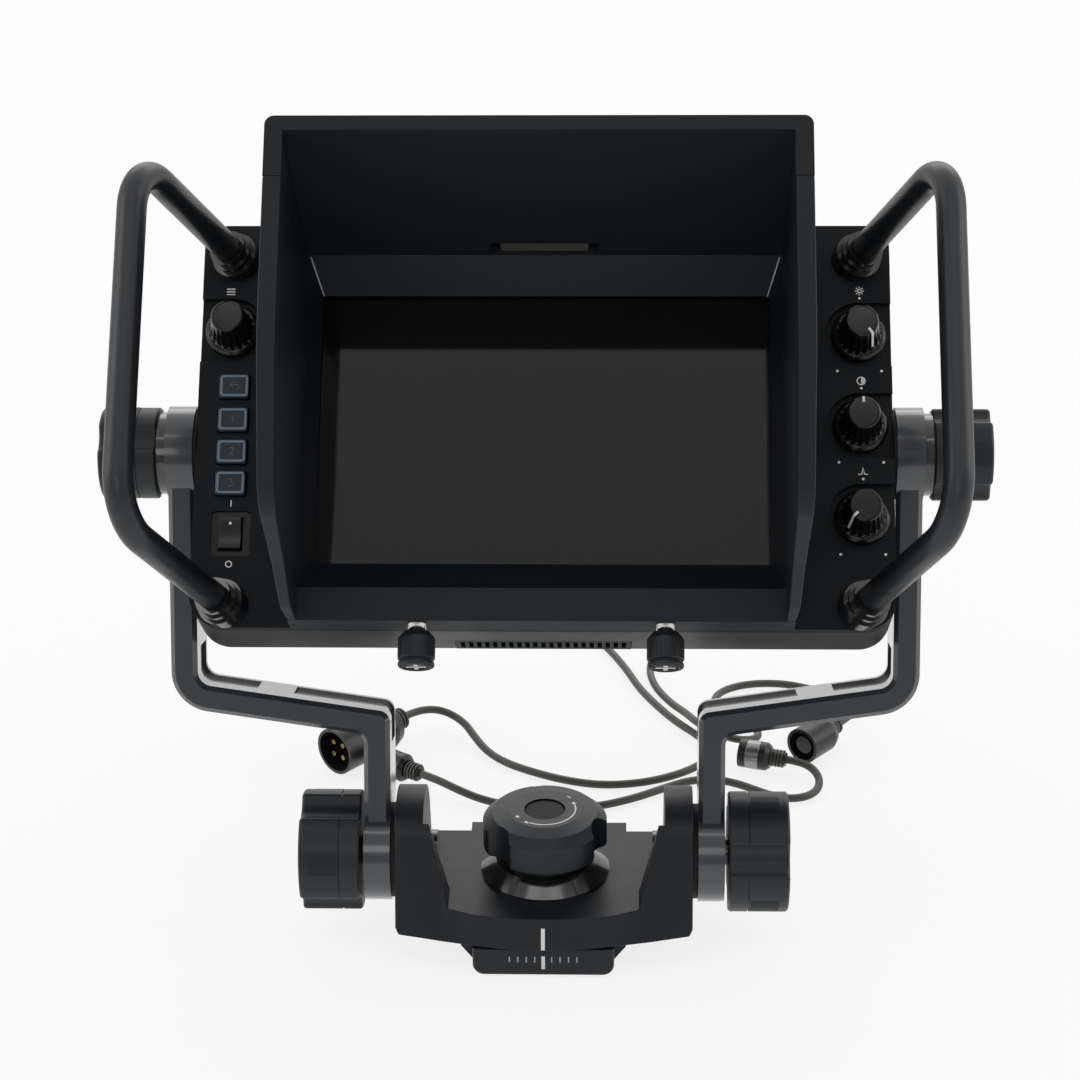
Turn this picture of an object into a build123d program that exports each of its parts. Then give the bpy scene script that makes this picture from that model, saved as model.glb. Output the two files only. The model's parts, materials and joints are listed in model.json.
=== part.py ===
"""Studio camera viewfinder: a hooded flat display in a pair of cranked arms on a panning yoke.

World frame in millimetres: +X to the operator's right, +Y away from the operator, +Z up.  The pan axis is
X = Y = 0 and the base stands on Z = 0.  The head and the arms are drawn in their own tilted frames.
"""
from build123d import *
from math import cos, pi, radians, sin, tan
import os

os.makedirs("parts", exist_ok=True)

# Clearances
run_gap = 0.05
seat_gap = 0.1
part_gap = 0.3

# Stance: tilt axis height, lean of the arms, tilt of the head
pivot_height = 29.15
arm_lean = 17.41
arm_length = 137.46
head_tilt = 41.03
head_pivot_u = -4.4
head_pivot_depth = 14.3
pivot_radius = 5.0

# Base plate and pan bearing
base_top = 10.54
base_half_width = 24.0
base_corner = 4.0
base_front = 34.0
base_back = 50.0
flank_half_width = 28.0
flank_setback = 4.0
flank_toe = 3.0
flank_edge = 1.0
base_nose_round = 1.5
fixing_hole_radius = 2.1
fixing_spacing_x = 28.0
fixing_spacing_y = 62.0
fixing_depth = 8.0
washer_thickness = 0.5
washer_radius = 20.0
spindle_radius = 6.3
spindle_flange_radius = 11.0
spindle_flange_thickness = 4.4
spindle_lead_in = 1.0
spindle_cover = 2.0
socket_radius = 3.97
socket_depth = 9.0

# Yoke bracket
yoke_half_width = 50.6
yoke_floor = 10.8
yoke_foot_draw = 1.0
yoke_foot_height = 2.0
yoke_front = 35.5
yoke_back = 25.0
yoke_nose_half = 24.0
yoke_nose_bow = 2.8
yoke_knee_half = 34.5
yoke_knee_setback = 5.3
yoke_flank_setback = 9.8
yoke_nose_lean = 9.4
yoke_ear_front = 13.2
ear_inner = 41.0
ear_radius = 22.5
channel_half_floor = 32.5
channel_half_top = 40.0
flange_base_radius = 22.2
flange_top_radius = 17.0
flange_height = 5.3
flange_rim = 1.0
flange_lip = 0.8
pivot_head_radius = 7.0
pivot_head_depth = 4.0

# Pan knob
pan_knob_radius = 21.3
pan_knob_brow_radius = 18.0
pan_knob_crown_radius = 12.5
pan_neck_radius = 14.5
pan_neck_height = 4.6
pan_knob_barrel = 9.7
pan_knob_cone = 4.0
pan_cap_radius = 7.0
pan_knob_foot = 0.8
pan_knob_crown = 1.1
pan_cap_depth = 1.6
pan_cap_sunk = 0.5
pan_cap_edge = 0.4
pan_lobe_turn = -20.0

# Arms
arm_half_depth = 12.0
arm_thickness = 9.0
arm_inner_low = 52.5
arm_inner_high = 117.8
arm_run_low = 50.27
arm_run_high = 59.65
arm_disc_radius = 17.3
arm_boss_radius = 16.0
arm_boss_proud = 0.4
arm_outer_corner = 14.0
arm_inner_corner = 5.0
arm_low_corner = 4.0
arm_bevel = 1.5

# Clamp knobs
lower_knob_radius = 20.6
lower_knob_gap = 1.4
lower_knob_width = 20.6
lower_knob_turns = (18.0, 38.0)
upper_knob_radius = 15.5
upper_knob_width = 19.6
upper_knob_turns = (32.0, 45.0)
collar_width = 2.8
collar_radius = 14.0
knob_thread_depth = 13.0
upper_pivot_flange = 2.5
upper_pivot_flange_depth = 2.0
washer_setback = 1.0
scallop_share = 0.364
scallop_ring = 1.189
knob_lip = 1.6
knob_edge = 1.2
knob_groove_place = 6.5
knob_groove = 0.5

# Head housing
head_half_width = 116.6
head_bottom = 69.0
head_top = 72.8
head_depth = 30.0
head_low_corner = 11.0
head_high_corner = 8.0
panel_thickness = 4.0
wall = 2.5
back_round = 3.0
screen_half_width = 75.4
screen_half_height = 47.1
glass_margin = 3.0
glass_thickness = 2.0
display_margin = 6.0
display_thickness = 8.0
board_thickness = 1.6
board_stand_off = 5.0
board_side_margin = 16.0
board_end_margin = 6.0
board_post_inset = 6.0
board_post_radius = 3.0
board_corner = 3.0
board_hole_margin = 2.0
display_corner = 2.0
vent_half_width = 29.5
vent_start = 17.0
vent_length = 11.0
vent_fins = 21
vent_fin = 1.2
screw_head_radius = 2.8
screw_head_height = 1.4
screw_head_edge = 0.4
screw_end_inset = 8.0
inlet_u = -42.0
power_inlet_x = -62.0
video_inlet_xs = (24.0, 50.0)
inlet_body_radius = 11.5
inlet_plate_half = 13.0
inlet_plate_corner = 2.5
inlet_wall = 2.0
inlet_pin_ring = 5.0
inlet_pin_radius = 1.0
inlet_plate = 2.0
inlet_length = 6.0
jack_radius = 4.8
jack_length = 9.0
jack_wall = 1.2
jack_pin_radius = 1.3
jack_floor = 2.0
jack_nut = 2.4
jack_nut_thickness = 1.5

# Handles
handle_radius = 4.8
handle_x = 105.2
handle_high_u = 60.8
handle_low_u = -61.2
handle_out_x = 129.5
handle_out_n = 70.5
handle_out_high_u = 67.8
handle_out_low_u = -52.5
handle_high_bend = 16.0
handle_low_bend = 19.0
handle_splay = 21.0
collar_base_radius = 8.0
collar_mid_radius = 7.2
collar_tip_radius = 6.4
collar_step = 2.8
collar_root = 5.0

# Front controls
control_x = 105.7
control_us = (33.5, 1.4, -30.4)
menu_x = -106.0
menu_u = 34.9
recess_radius = 11.3
recess_depth = 2.0
dial_skirt_radius = 9.3
dial_skirt_height = 2.6
dial_grip_radius = 7.4
dial_tip_radius = 5.0
dial_height = 16.0
dial_skirt_band = 0.6
dial_ledge = 0.6
dial_tip_round = 0.6
dial_flutes = 18
dial_flute_radius = 0.7
dial_flute_share = 0.3
dial_bore_depth = 9.0
shaft_radius = 3.0
pot_radius = 6.2
pot_length = 8.0
button_x = -104.4
button_us = (14.5, 2.7, -8.6, -19.6)
button_width = 10.3
button_height = 8.5
button_proud = 1.6
button_flange = 1.1
button_flange_thickness = 0.8
button_corner = 1.0
button_round = 0.6
switch_x = -103.85
switch_u = -36.8
switch_width = 13.1
switch_length = 15.4
switch_sunk = 0.8
switch_corner = 1.5
rocker_width = 7.5
rocker_length = 11.0
rocker_proud = 1.4
rocker_pivot_depth = 1.0
rocker_skirt = 2.0
rocker_dip = 1.0
rocker_draft = 0.1
rocker_pin_length = 1.0
rocker_pin_play = 0.2
rocker_pin_radius = 0.8

# Hood
hood_start = 12.0
hood_reach = 93.9
hood_inner_half = 79.5
hood_wall_rear = 3.0
hood_wall_front = 5.7
hood_top_u = 71.5
hood_top_inner_rear = 57.4
hood_top_inner_front = 66.7
hood_chin = 69.5
chin_inner = 58.4
hood_ledge = 2.1
hood_seam_drop = 20.0
hood_corner = 3.0
window_half_width = 15.0
window_notch = 18.0
window_height = 3.4
window_lift = 1.5
window_corner = 1.0
window_end = 20.0
thumb_x = 40.5
thumb_n = 7.0
thumb_shank_radius = 3.0
thumb_thread = 8.5
thumb_neck = 2.5
thumb_head_radius = 6.15
thumb_head_length = 12.0
thumb_head_slope = 2.4
thumb_head_edge = 0.8
thumb_cross_width = 1.4
thumb_cross_length = 6.4
thumb_cross_depth = 2.0
hood_cheek_reach = 80.5
hood_cheek_u = 50.0
hood_jaw_reach = 48.0
hood_jaw_u = 60.5
hood_heel_reach = 28.0
hood_cheek_bends = (60.0, 16.0, 24.0, 10.0)

# Leads
lead_radius = 1.5
power_plug_radius = 9.2
power_plug_length = 30.0
plug_boot_length = 7.0
socket_shell_radius = 7.0
socket_shell_length = 16.0
video_plug_radius = 5.4
video_plug_length = 12.0
video_boot_length = 6.0
boot_radius = 3.0
boot_neck = 0.4
boot_swell = 2.0
plug_shoulder = 4.0
plug_shoulder_draw = 1.5
socket_shoulder = 3.0
video_plug_shoulder = 1.5
plug_wall = 1.2
power_plug_mouth = 9.0
power_pin_ring = 3.6
power_pin_radius = 0.9
power_pin_length = 7.0
socket_mouth = 6.0
video_plug_mouth = 5.0
video_pin_radius = 0.8

# Worked-out places
tray_top = base_top + washer_thickness + yoke_floor
arm_plane = Plane(
    origin=(0, 0, pivot_height),
    x_dir=(1, 0, 0),
    z_dir=(0, -cos(radians(arm_lean)), sin(radians(arm_lean))),
)
head_pivot = arm_plane.from_local_coords(Vector(0, arm_length, 0))
head_up = Vector(0, sin(radians(head_tilt)), cos(radians(head_tilt)))
head_out = Vector(0, -cos(radians(head_tilt)), sin(radians(head_tilt)))
head_plane = Plane(
    origin=head_pivot - head_up * head_pivot_u + head_out * head_pivot_depth,
    x_dir=(1, 0, 0),
    z_dir=head_out,
)
world = Plane.XY
head_height = head_top + head_bottom
head_middle = (head_top - head_bottom) / 2
arm_outer_low = arm_inner_low + arm_thickness
arm_outer_high = arm_inner_high + arm_thickness
boss_outer = arm_outer_high + arm_boss_proud
lower_knob_start = arm_outer_low + lower_knob_gap
upper_knob_start = boss_outer + part_gap + collar_width
head_inner_half = head_half_width - wall
pivot_head_inset = ear_inner - pivot_head_depth
arm_run_slope = (arm_run_high - arm_run_low) / (arm_inner_high - arm_inner_low)
arm_run_drop = arm_thickness * (1 - arm_run_slope)
hood_half_rear = hood_inner_half + hood_wall_rear
hood_half_front = hood_inner_half + hood_wall_front


def save(piece: BuildPart, name: str, frame: Plane = world) -> None:
    """Label a finished piece, seat it by its frame and write its file."""
    piece.part.label = name
    export_step(piece.part.moved(frame.location), f"parts/{name}.step")


def side_plane(x: float, u: float = 0.0, n: float = 0.0, facing: int = 1) -> Plane:
    """Plane square to X, whose own x runs along +Y (or +u) and whose normal looks along facing X."""
    return Plane(origin=(x, u, n), x_dir=(0, 1, 0), z_dir=(facing, 0, 0))


def washer(plane: Plane, outer: float, inner: float, thickness: float) -> BuildPart:
    """Flat ring that stands on its plane."""
    with BuildPart() as ring:
        with BuildSketch(plane):
            Circle(outer)
            Circle(inner, mode=Mode.SUBTRACT)
        extrude(amount=thickness)
    return ring


def stepped_pin(plane: Plane, steps: list[tuple[float, float]]) -> BuildPart:
    """Turned pin along the plane's normal, as a run of (radius, length) steps."""
    with BuildPart() as pin:
        reach = 0.0
        for radius, length in steps:
            with BuildSketch(plane.offset(reach)):
                Circle(radius)
            extrude(amount=length)
            reach += length
    return pin


def lobed_knob(plane: Plane, radius: float, width: float, turn: float) -> BuildPart:
    """Three-lobed clamp knob on its plane, blind threaded from behind."""
    with BuildPart() as knob:
        with BuildSketch(plane):
            Circle(radius)
            with PolarLocations(radius * scallop_ring, 3, start_angle=turn):
                Circle(radius * scallop_share, mode=Mode.SUBTRACT)
            fillet(sketch_corners(), knob_lip)
        extrude(amount=width)
        top = knob.faces().sort_by(Axis(plane.origin, plane.z_dir))[-1]
        fillet(top.edges(), knob_edge)
        bottom = knob.faces().sort_by(Axis(plane.origin, plane.z_dir))[0]
        chamfer(bottom.edges(), knob_edge / 2)
        with BuildSketch(plane):
            Circle(pivot_radius + run_gap)
        extrude(amount=knob_thread_depth + part_gap, mode=Mode.SUBTRACT)
        with BuildSketch(plane.offset(knob_groove_place)):
            Circle(radius + knob_edge)
            Circle(radius - knob_groove, mode=Mode.SUBTRACT)
        extrude(amount=knob_groove, mode=Mode.SUBTRACT)
    return knob


def sketch_corners() -> ShapeList:
    """Corners of the sketch that is being drawn."""
    return BuildSketch._get_context().vertices()


# Base plate: a round-cornered foot with wedge flanks, four tapped holes and a counterbored seat for the spindle
with BuildPart() as base_plate:
    with BuildSketch(Plane.XZ.offset(base_front)):
        with Locations((0, base_top / 2)):
            Rectangle(2 * base_half_width, base_top)
        fillet(sketch_corners().group_by(Axis.Y)[0], base_corner)
    extrude(amount=-(base_front + base_back))
    with BuildSketch(Plane.XZ.offset(base_front - flank_setback)):
        with BuildLine():
            Polyline(
                (-flank_half_width, base_top),
                (flank_half_width, base_top),
                (flank_half_width, base_top - flank_edge),
                (base_half_width - flank_edge, flank_toe),
                (flank_edge - base_half_width, flank_toe),
                (-flank_half_width, base_top - flank_edge),
                close=True,
            )
        make_face()
    extrude(amount=flank_setback - base_front - base_back)
    fillet(base_plate.faces().sort_by(Axis.Y)[0].edges().filter_by(Axis.Z), base_nose_round)
    with BuildSketch(Plane.XY):
        Circle(spindle_radius + run_gap)
    extrude(amount=base_top, mode=Mode.SUBTRACT)
    with BuildSketch(Plane.XY):
        Circle(spindle_flange_radius + run_gap)
    extrude(amount=spindle_flange_thickness + run_gap, mode=Mode.SUBTRACT)
    with BuildSketch(Plane.XY):
        with Locations((0, (base_back - base_front) / 2)):
            with GridLocations(fixing_spacing_x, fixing_spacing_y, 2, 2):
                Circle(fixing_hole_radius)
    extrude(amount=fixing_depth, mode=Mode.SUBTRACT)
save(base_plate, "base_plate")

# Pan spindle: flanged shaft with a threaded socket in its underside
spindle_top = tray_top + flange_height + pan_neck_height + pan_knob_barrel - spindle_cover
with BuildPart() as pan_spindle:
    with BuildSketch(Plane.XY):
        Circle(spindle_flange_radius)
    extrude(amount=spindle_flange_thickness)
    with BuildSketch(Plane.XY):
        Circle(spindle_radius)
    extrude(amount=spindle_top)
    with BuildSketch(Plane.XY):
        Circle(socket_radius)
    extrude(amount=socket_depth, mode=Mode.SUBTRACT)
    chamfer(pan_spindle.faces().sort_by(Axis.Z)[-1].edges(), spindle_lead_in)
save(pan_spindle, "pan_spindle")

pan_washer = washer(
    Plane.XY.offset(base_top), washer_radius, spindle_radius + part_gap, washer_thickness
)
save(pan_washer, "pan_washer")

# Yoke bracket: a cast channel with two round ears, bowed in plan at the front, hollow behind its corner webs
yoke_bottom = base_top + washer_thickness
ear_top = pivot_height + ear_radius
with BuildPart() as yoke_bracket:
    with BuildSketch(Plane.XZ.offset(yoke_front)):
        with BuildLine():
            Polyline(
                (-yoke_half_width + yoke_foot_draw, yoke_bottom),
                (yoke_half_width - yoke_foot_draw, yoke_bottom),
                (yoke_half_width, yoke_bottom + yoke_foot_height),
                (yoke_half_width, ear_top),
                (channel_half_top, ear_top),
                (channel_half_floor, tray_top),
                (-channel_half_floor, tray_top),
                (-channel_half_top, ear_top),
                (-yoke_half_width, ear_top),
                (-yoke_half_width, yoke_bottom + yoke_foot_height),
                close=True,
            )
        make_face()
    extrude(amount=-(yoke_front + yoke_back))
    with BuildSketch(side_plane(-yoke_half_width)):
        with Locations((0, pivot_height)):
            Circle(ear_radius)
        with Locations(((yoke_back - yoke_front) / 2, (yoke_bottom + tray_top) / 2)):
            Rectangle(yoke_front + yoke_back, tray_top - yoke_bottom)
        make_hull()
    extrude(amount=2 * yoke_half_width, mode=Mode.INTERSECT)
    for level, nose, knee, flank in (
        (yoke_bottom, yoke_front, yoke_front - yoke_knee_setback, yoke_front - yoke_flank_setback),
        (ear_top, yoke_front - yoke_nose_lean, yoke_ear_front, yoke_ear_front),
    ):
        with BuildSketch(Plane.XY.offset(level)):
            with BuildLine():
                nose_end = yoke_nose_bow - nose
                ThreePointArc((-yoke_nose_half, nose_end), (0, -nose), (yoke_nose_half, nose_end))
                Polyline(
                    (yoke_nose_half, nose_end),
                    (yoke_knee_half, -knee),
                    (yoke_half_width, -flank),
                    (yoke_half_width, yoke_back),
                    (-yoke_half_width, yoke_back),
                    (-yoke_half_width, -flank),
                    (-yoke_knee_half, -knee),
                    (-yoke_nose_half, nose_end),
                )
            make_face()
    loft(ruled=True, mode=Mode.INTERSECT)
    for side in (-1, 1):
        with BuildSketch(Plane.XZ.offset(yoke_ear_front)):
            with BuildLine():
                Polyline(
                    (side * channel_half_floor, tray_top),
                    (side * ear_inner, tray_top),
                    (side * ear_inner, ear_top),
                    (side * channel_half_top, ear_top),
                    close=True,
                )
            make_face()
        extrude(amount=-(yoke_ear_front + yoke_back), mode=Mode.SUBTRACT)
    with BuildSketch(Plane.XY.offset(yoke_bottom)):
        Circle(spindle_radius + run_gap)
    extrude(amount=yoke_floor, mode=Mode.SUBTRACT)
    with BuildSketch(side_plane(-yoke_half_width)):
        with Locations((0, pivot_height)):
            Circle(pivot_radius + run_gap)
    extrude(amount=2 * yoke_half_width, mode=Mode.SUBTRACT)
    with BuildSketch(side_plane(-pivot_head_inset - pivot_head_depth)):
        with Locations((0, pivot_height)):
            Circle(pivot_head_radius + run_gap)
    extrude(amount=2 * (pivot_head_inset + pivot_head_depth), mode=Mode.SUBTRACT)
save(yoke_bracket, "yoke_bracket")

# Polished flange that the pan knob bears on
with BuildPart() as pan_flange:
    with BuildSketch(Plane.XZ):
        with BuildLine():
            Polyline(
                (spindle_radius + run_gap, tray_top),
                (flange_base_radius, tray_top),
                (flange_base_radius, tray_top + flange_rim),
                (flange_top_radius + flange_rim, tray_top + flange_height - flange_lip),
                (flange_top_radius, tray_top + flange_height),
                (spindle_radius + run_gap, tray_top + flange_height),
                close=True,
            )
        make_face()
    revolve(axis=Axis.Z)
save(pan_flange, "pan_flange")

# Pan knob: lobed barrel with a coned shoulder on a round neck
neck_bottom = tray_top + flange_height + seat_gap
barrel_bottom = neck_bottom + pan_neck_height
barrel_top = barrel_bottom + pan_knob_barrel
knob_top = barrel_top + pan_knob_cone
with BuildPart() as pan_knob:
    with BuildSketch(Plane.XY.offset(barrel_bottom)):
        Circle(pan_knob_radius)
        with PolarLocations(pan_knob_radius * scallop_ring, 3, start_angle=pan_lobe_turn):
            Circle(pan_knob_radius * scallop_share, mode=Mode.SUBTRACT)
        fillet(sketch_corners(), knob_lip)
    extrude(amount=pan_knob_barrel + pan_knob_cone)
    with BuildSketch(Plane.XZ):
        with BuildLine():
            Polyline(
                (0, barrel_bottom),
                (pan_knob_radius - pan_knob_foot, barrel_bottom),
                (pan_knob_radius, barrel_bottom + pan_knob_foot),
                (pan_knob_radius, barrel_top),
                (pan_knob_brow_radius, knob_top - pan_knob_crown),
                (pan_knob_crown_radius, knob_top),
                (0, knob_top),
                close=True,
            )
        make_face()
    revolve(axis=Axis.Z, mode=Mode.INTERSECT)
    with BuildSketch(Plane.XY.offset(neck_bottom)):
        Circle(pan_neck_radius)
    extrude(amount=pan_neck_height)
    with BuildSketch(Plane.XY.offset(knob_top)):
        Circle(pan_cap_radius + run_gap)
    extrude(amount=-pan_cap_depth, mode=Mode.SUBTRACT)
    with BuildSketch(Plane.XY.offset(neck_bottom)):
        Circle(spindle_radius + run_gap)
    extrude(amount=spindle_top - neck_bottom + part_gap, mode=Mode.SUBTRACT)
save(pan_knob, "pan_knob")

with BuildPart() as pan_knob_cap:
    with BuildSketch(Plane.XY.offset(knob_top - pan_cap_depth)):
        Circle(pan_cap_radius)
    extrude(amount=pan_cap_depth - pan_cap_sunk)
    chamfer(pan_knob_cap.faces().sort_by(Axis.Z)[-1].edges(), pan_cap_edge)
save(pan_knob_cap, "pan_knob_cap")


def cranked_arm(side: int) -> BuildPart:
    """One arm in its own leaning frame: round foot, upright, sloping run, upright and round boss."""
    with BuildPart() as arm:
        with BuildSketch(Plane.XY.offset(-arm_half_depth)):
            with BuildLine():
                Polyline(
                    (side * arm_inner_low, 0),
                    (side * arm_inner_low, arm_run_low),
                    (side * arm_inner_high, arm_run_high),
                    (side * arm_inner_high, arm_length),
                    (side * arm_outer_high, arm_length),
                    (side * arm_outer_high, arm_run_high - arm_run_drop),
                    (side * arm_outer_low, arm_run_low - arm_run_drop),
                    (side * arm_outer_low, 0),
                    close=True,
                )
            make_face()
            corners = sketch_corners()
            fillet(corners.sort_by_distance((side * arm_outer_high, arm_run_high - arm_thickness))[0],
                   arm_outer_corner)
            corners = sketch_corners()
            fillet(corners.sort_by_distance((side * arm_inner_high, arm_run_high))[0], arm_inner_corner)
            corners = sketch_corners()
            fillet(corners.sort_by_distance((side * arm_inner_low, arm_run_low))[0], arm_low_corner)
            corners = sketch_corners()
            fillet(corners.sort_by_distance((side * arm_outer_low, arm_run_low - arm_thickness))[0],
                   arm_low_corner)
        extrude(amount=2 * arm_half_depth)
        chamfer(arm.faces().sort_by(Axis.Z)[-1].edges(), arm_bevel)
        with BuildSketch(side_plane(side * arm_inner_low, facing=side)):
            Circle(arm_disc_radius)
        extrude(amount=arm_thickness)
        with BuildSketch(side_plane(side * arm_inner_high, arm_length, facing=side)):
            Circle(arm_boss_radius)
        extrude(amount=arm_thickness + arm_boss_proud)
        for inner, height in ((arm_inner_low, 0.0), (arm_inner_high, arm_length)):
            with BuildSketch(side_plane(side * inner, height, facing=side)):
                Circle(pivot_radius + run_gap)
            extrude(amount=arm_thickness + arm_boss_proud, mode=Mode.SUBTRACT)
    return arm


for side, word in ((-1, "left"), (1, "right")):
    save(cranked_arm(side), f"arm_{word}", arm_plane)

# Friction washers at both tilt axes
with BuildPart() as lower_washers:
    for side in (-1, 1):
        with BuildSketch(side_plane(side * (arm_inner_low - seat_gap), facing=-side)):
            Circle(arm_disc_radius - washer_setback)
            Circle(pivot_radius + part_gap, mode=Mode.SUBTRACT)
        extrude(amount=arm_inner_low - yoke_half_width - 2 * seat_gap)
save(lower_washers, "lower_washers", arm_plane)
with BuildPart() as upper_washers:
    for side in (-1, 1):
        with BuildSketch(side_plane(side * arm_inner_high, arm_length, facing=-side)):
            Circle(arm_boss_radius - washer_setback)
            Circle(pivot_radius + part_gap, mode=Mode.SUBTRACT)
        extrude(amount=arm_inner_high - head_half_width - seat_gap)
save(upper_washers, "upper_washers", arm_plane)

# Pivot bolts and the three-lobed clamp knobs on their ends
for side, word in ((-1, "left"), (1, "right")):
    lower_pivot = stepped_pin(
        side_plane(side * pivot_head_inset, 0, pivot_height, side),
        [
            (pivot_head_radius, pivot_head_depth),
            (pivot_radius, lower_knob_start + knob_thread_depth - pivot_head_inset - pivot_head_depth),
        ],
    )
    save(lower_pivot, f"lower_pivot_{word}")
    upper_pivot = stepped_pin(
        side_plane(
            side * (head_inner_half - upper_pivot_flange_depth), head_pivot_u, -head_pivot_depth, side
        ),
        [
            (pivot_radius + upper_pivot_flange, upper_pivot_flange_depth),
            (pivot_radius, upper_knob_start + knob_thread_depth - head_inner_half),
        ],
    )
    save(upper_pivot, f"upper_pivot_{word}", head_plane)
    lower_knob = lobed_knob(
        side_plane(side * lower_knob_start, 0, pivot_height, side),
        lower_knob_radius,
        lower_knob_width,
        lower_knob_turns[(side + 1) // 2],
    )
    save(lower_knob, f"lower_knob_{word}")
    upper_knob = lobed_knob(
        side_plane(side * upper_knob_start, head_pivot_u, -head_pivot_depth, side),
        upper_knob_radius,
        upper_knob_width,
        upper_knob_turns[(side + 1) // 2],
    )
    save(upper_knob, f"upper_knob_{word}", head_plane)
    knob_collar = washer(
        side_plane(side * (boss_outer + part_gap), head_pivot_u, -head_pivot_depth, side),
        collar_radius,
        pivot_radius + run_gap,
        collar_width,
    )
    save(knob_collar, f"upper_collar_{word}", head_plane)


def draw_head_outline(inset: float) -> None:
    """Head's front outline, drawn inset by a wall, with its own corner radii."""
    with Locations((0, head_middle)):
        Rectangle(2 * (head_half_width - inset), head_height - 2 * inset)
    corners = sketch_corners().sort_by(Axis.Y)
    fillet(corners[:2], head_low_corner - inset)
    corners = sketch_corners().sort_by(Axis.Y)
    fillet(corners[-2:], head_high_corner - inset)


# Front panel: the plate with the screen opening, the dial recesses, the button holes and the switch hole
with BuildPart() as front_panel:
    with BuildSketch(Plane.XY.offset(-panel_thickness)):
        draw_head_outline(0.0)
    extrude(amount=panel_thickness)
    with BuildSketch(Plane.XY.offset(-panel_thickness)):
        Rectangle(2 * screen_half_width, 2 * screen_half_height)
    extrude(amount=panel_thickness, mode=Mode.SUBTRACT)
    with BuildSketch(Plane.XY):
        Rectangle(
            2 * (screen_half_width + glass_margin + run_gap),
            2 * (screen_half_height + glass_margin + run_gap),
        )
    extrude(amount=-glass_thickness - run_gap, mode=Mode.SUBTRACT)
    for dial_x, dial_u in [(control_x, u) for u in control_us] + [(menu_x, menu_u)]:
        outward = 1 if dial_x > 0 else -1
        with BuildSketch(Plane.XY):
            with Locations((dial_x, dial_u)):
                Circle(recess_radius)
            with Locations((dial_x + outward * recess_radius, dial_u)):
                Rectangle(2 * recess_radius, 2 * recess_radius)
        extrude(amount=-recess_depth, mode=Mode.SUBTRACT)
        with BuildSketch(Plane.XY):
            with Locations((dial_x, dial_u)):
                Circle(shaft_radius + run_gap)
        extrude(amount=-panel_thickness, mode=Mode.SUBTRACT)
    with BuildSketch(Plane.XY):
        for button_u in button_us:
            with Locations((button_x, button_u)):
                RectangleRounded(button_width + 2 * part_gap, button_height + 2 * part_gap, button_corner)
        with Locations((switch_x, switch_u)):
            RectangleRounded(switch_width + 2 * run_gap, switch_length + 2 * run_gap, switch_corner)
    extrude(amount=-panel_thickness, mode=Mode.SUBTRACT)
save(front_panel, "front_panel", head_plane)

# Rear housing: a tub with rounded back edges, pivot holes, a vent in its floor and inlets in its back
with BuildPart() as rear_housing:
    with BuildSketch(Plane.XY.offset(-panel_thickness)):
        draw_head_outline(0.0)
    extrude(amount=panel_thickness - head_depth)
    fillet(rear_housing.faces().sort_by(Axis.Z)[0].edges(), back_round)
    with BuildSketch(Plane.XY.offset(-panel_thickness)):
        draw_head_outline(wall)
    extrude(amount=panel_thickness - head_depth + wall, mode=Mode.SUBTRACT)
    with BuildSketch(side_plane(-head_half_width)):
        with Locations((head_pivot_u, -head_pivot_depth)):
            Circle(pivot_radius + run_gap)
    extrude(amount=2 * head_half_width, mode=Mode.SUBTRACT)
    with BuildSketch(Plane.XZ.offset(head_bottom)):
        with Locations((0, -vent_start - vent_length / 2)):
            Rectangle(2 * vent_half_width, vent_length)
    extrude(amount=-wall, mode=Mode.SUBTRACT)
    with BuildSketch(Plane.XY.offset(-head_depth)):
        with Locations((power_inlet_x, inlet_u)):
            Circle(inlet_body_radius + run_gap)
        for jack_x in video_inlet_xs:
            with Locations((jack_x, inlet_u)):
                Circle(jack_radius + run_gap)
    extrude(amount=wall, mode=Mode.SUBTRACT)
save(rear_housing, "rear_housing", head_plane)

# Ventilation grille: a frame of upright fins in the housing's floor
with BuildPart() as vent_grille:
    with BuildSketch(Plane.XZ.offset(head_bottom)):
        with Locations((0, -vent_start - vent_length / 2)):
            Rectangle(2 * (vent_half_width - run_gap), vent_length - 2 * run_gap)
            fin_pitch = (2 * vent_half_width - 2 * vent_fin) / vent_fins
            with GridLocations(fin_pitch, 0, vent_fins, 1):
                Rectangle(fin_pitch - vent_fin, vent_length - 3 * vent_fin, mode=Mode.SUBTRACT)
    extrude(amount=-wall)
save(vent_grille, "vent_grille", head_plane)

# Screen glass, display behind it and the main board
with BuildPart() as screen_glass:
    with BuildSketch(Plane.XY.offset(-glass_thickness)):
        Rectangle(2 * (screen_half_width + glass_margin), 2 * (screen_half_height + glass_margin))
    extrude(amount=glass_thickness)
save(screen_glass, "screen_glass", head_plane)
with BuildPart() as display_panel:
    with BuildSketch(Plane.XY.offset(-panel_thickness)):
        RectangleRounded(
            2 * (screen_half_width + display_margin),
            2 * (screen_half_height + display_margin),
            display_corner,
        )
    extrude(amount=-display_thickness)
save(display_panel, "display_panel", head_plane)
with BuildPart() as main_board:
    board_back = head_depth - wall - board_stand_off
    board_half_width = head_inner_half - board_side_margin
    board_height = head_height - 2 * wall - 2 * board_end_margin
    with BuildSketch(Plane.XY.offset(-board_back)):
        with Locations((0, head_middle)):
            RectangleRounded(2 * board_half_width, board_height, board_corner)
        with Locations((power_inlet_x, inlet_u)):
            Circle(inlet_body_radius + board_hole_margin, mode=Mode.SUBTRACT)
    extrude(amount=board_thickness)
    with BuildSketch(Plane.XY.offset(-board_back)):
        with Locations((0, head_middle)):
            with GridLocations(
                2 * (board_half_width - board_post_inset), board_height - 2 * board_post_inset, 2, 2
            ):
                Circle(board_post_radius)
    extrude(amount=-board_stand_off)
save(main_board, "main_board", head_plane)

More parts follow.
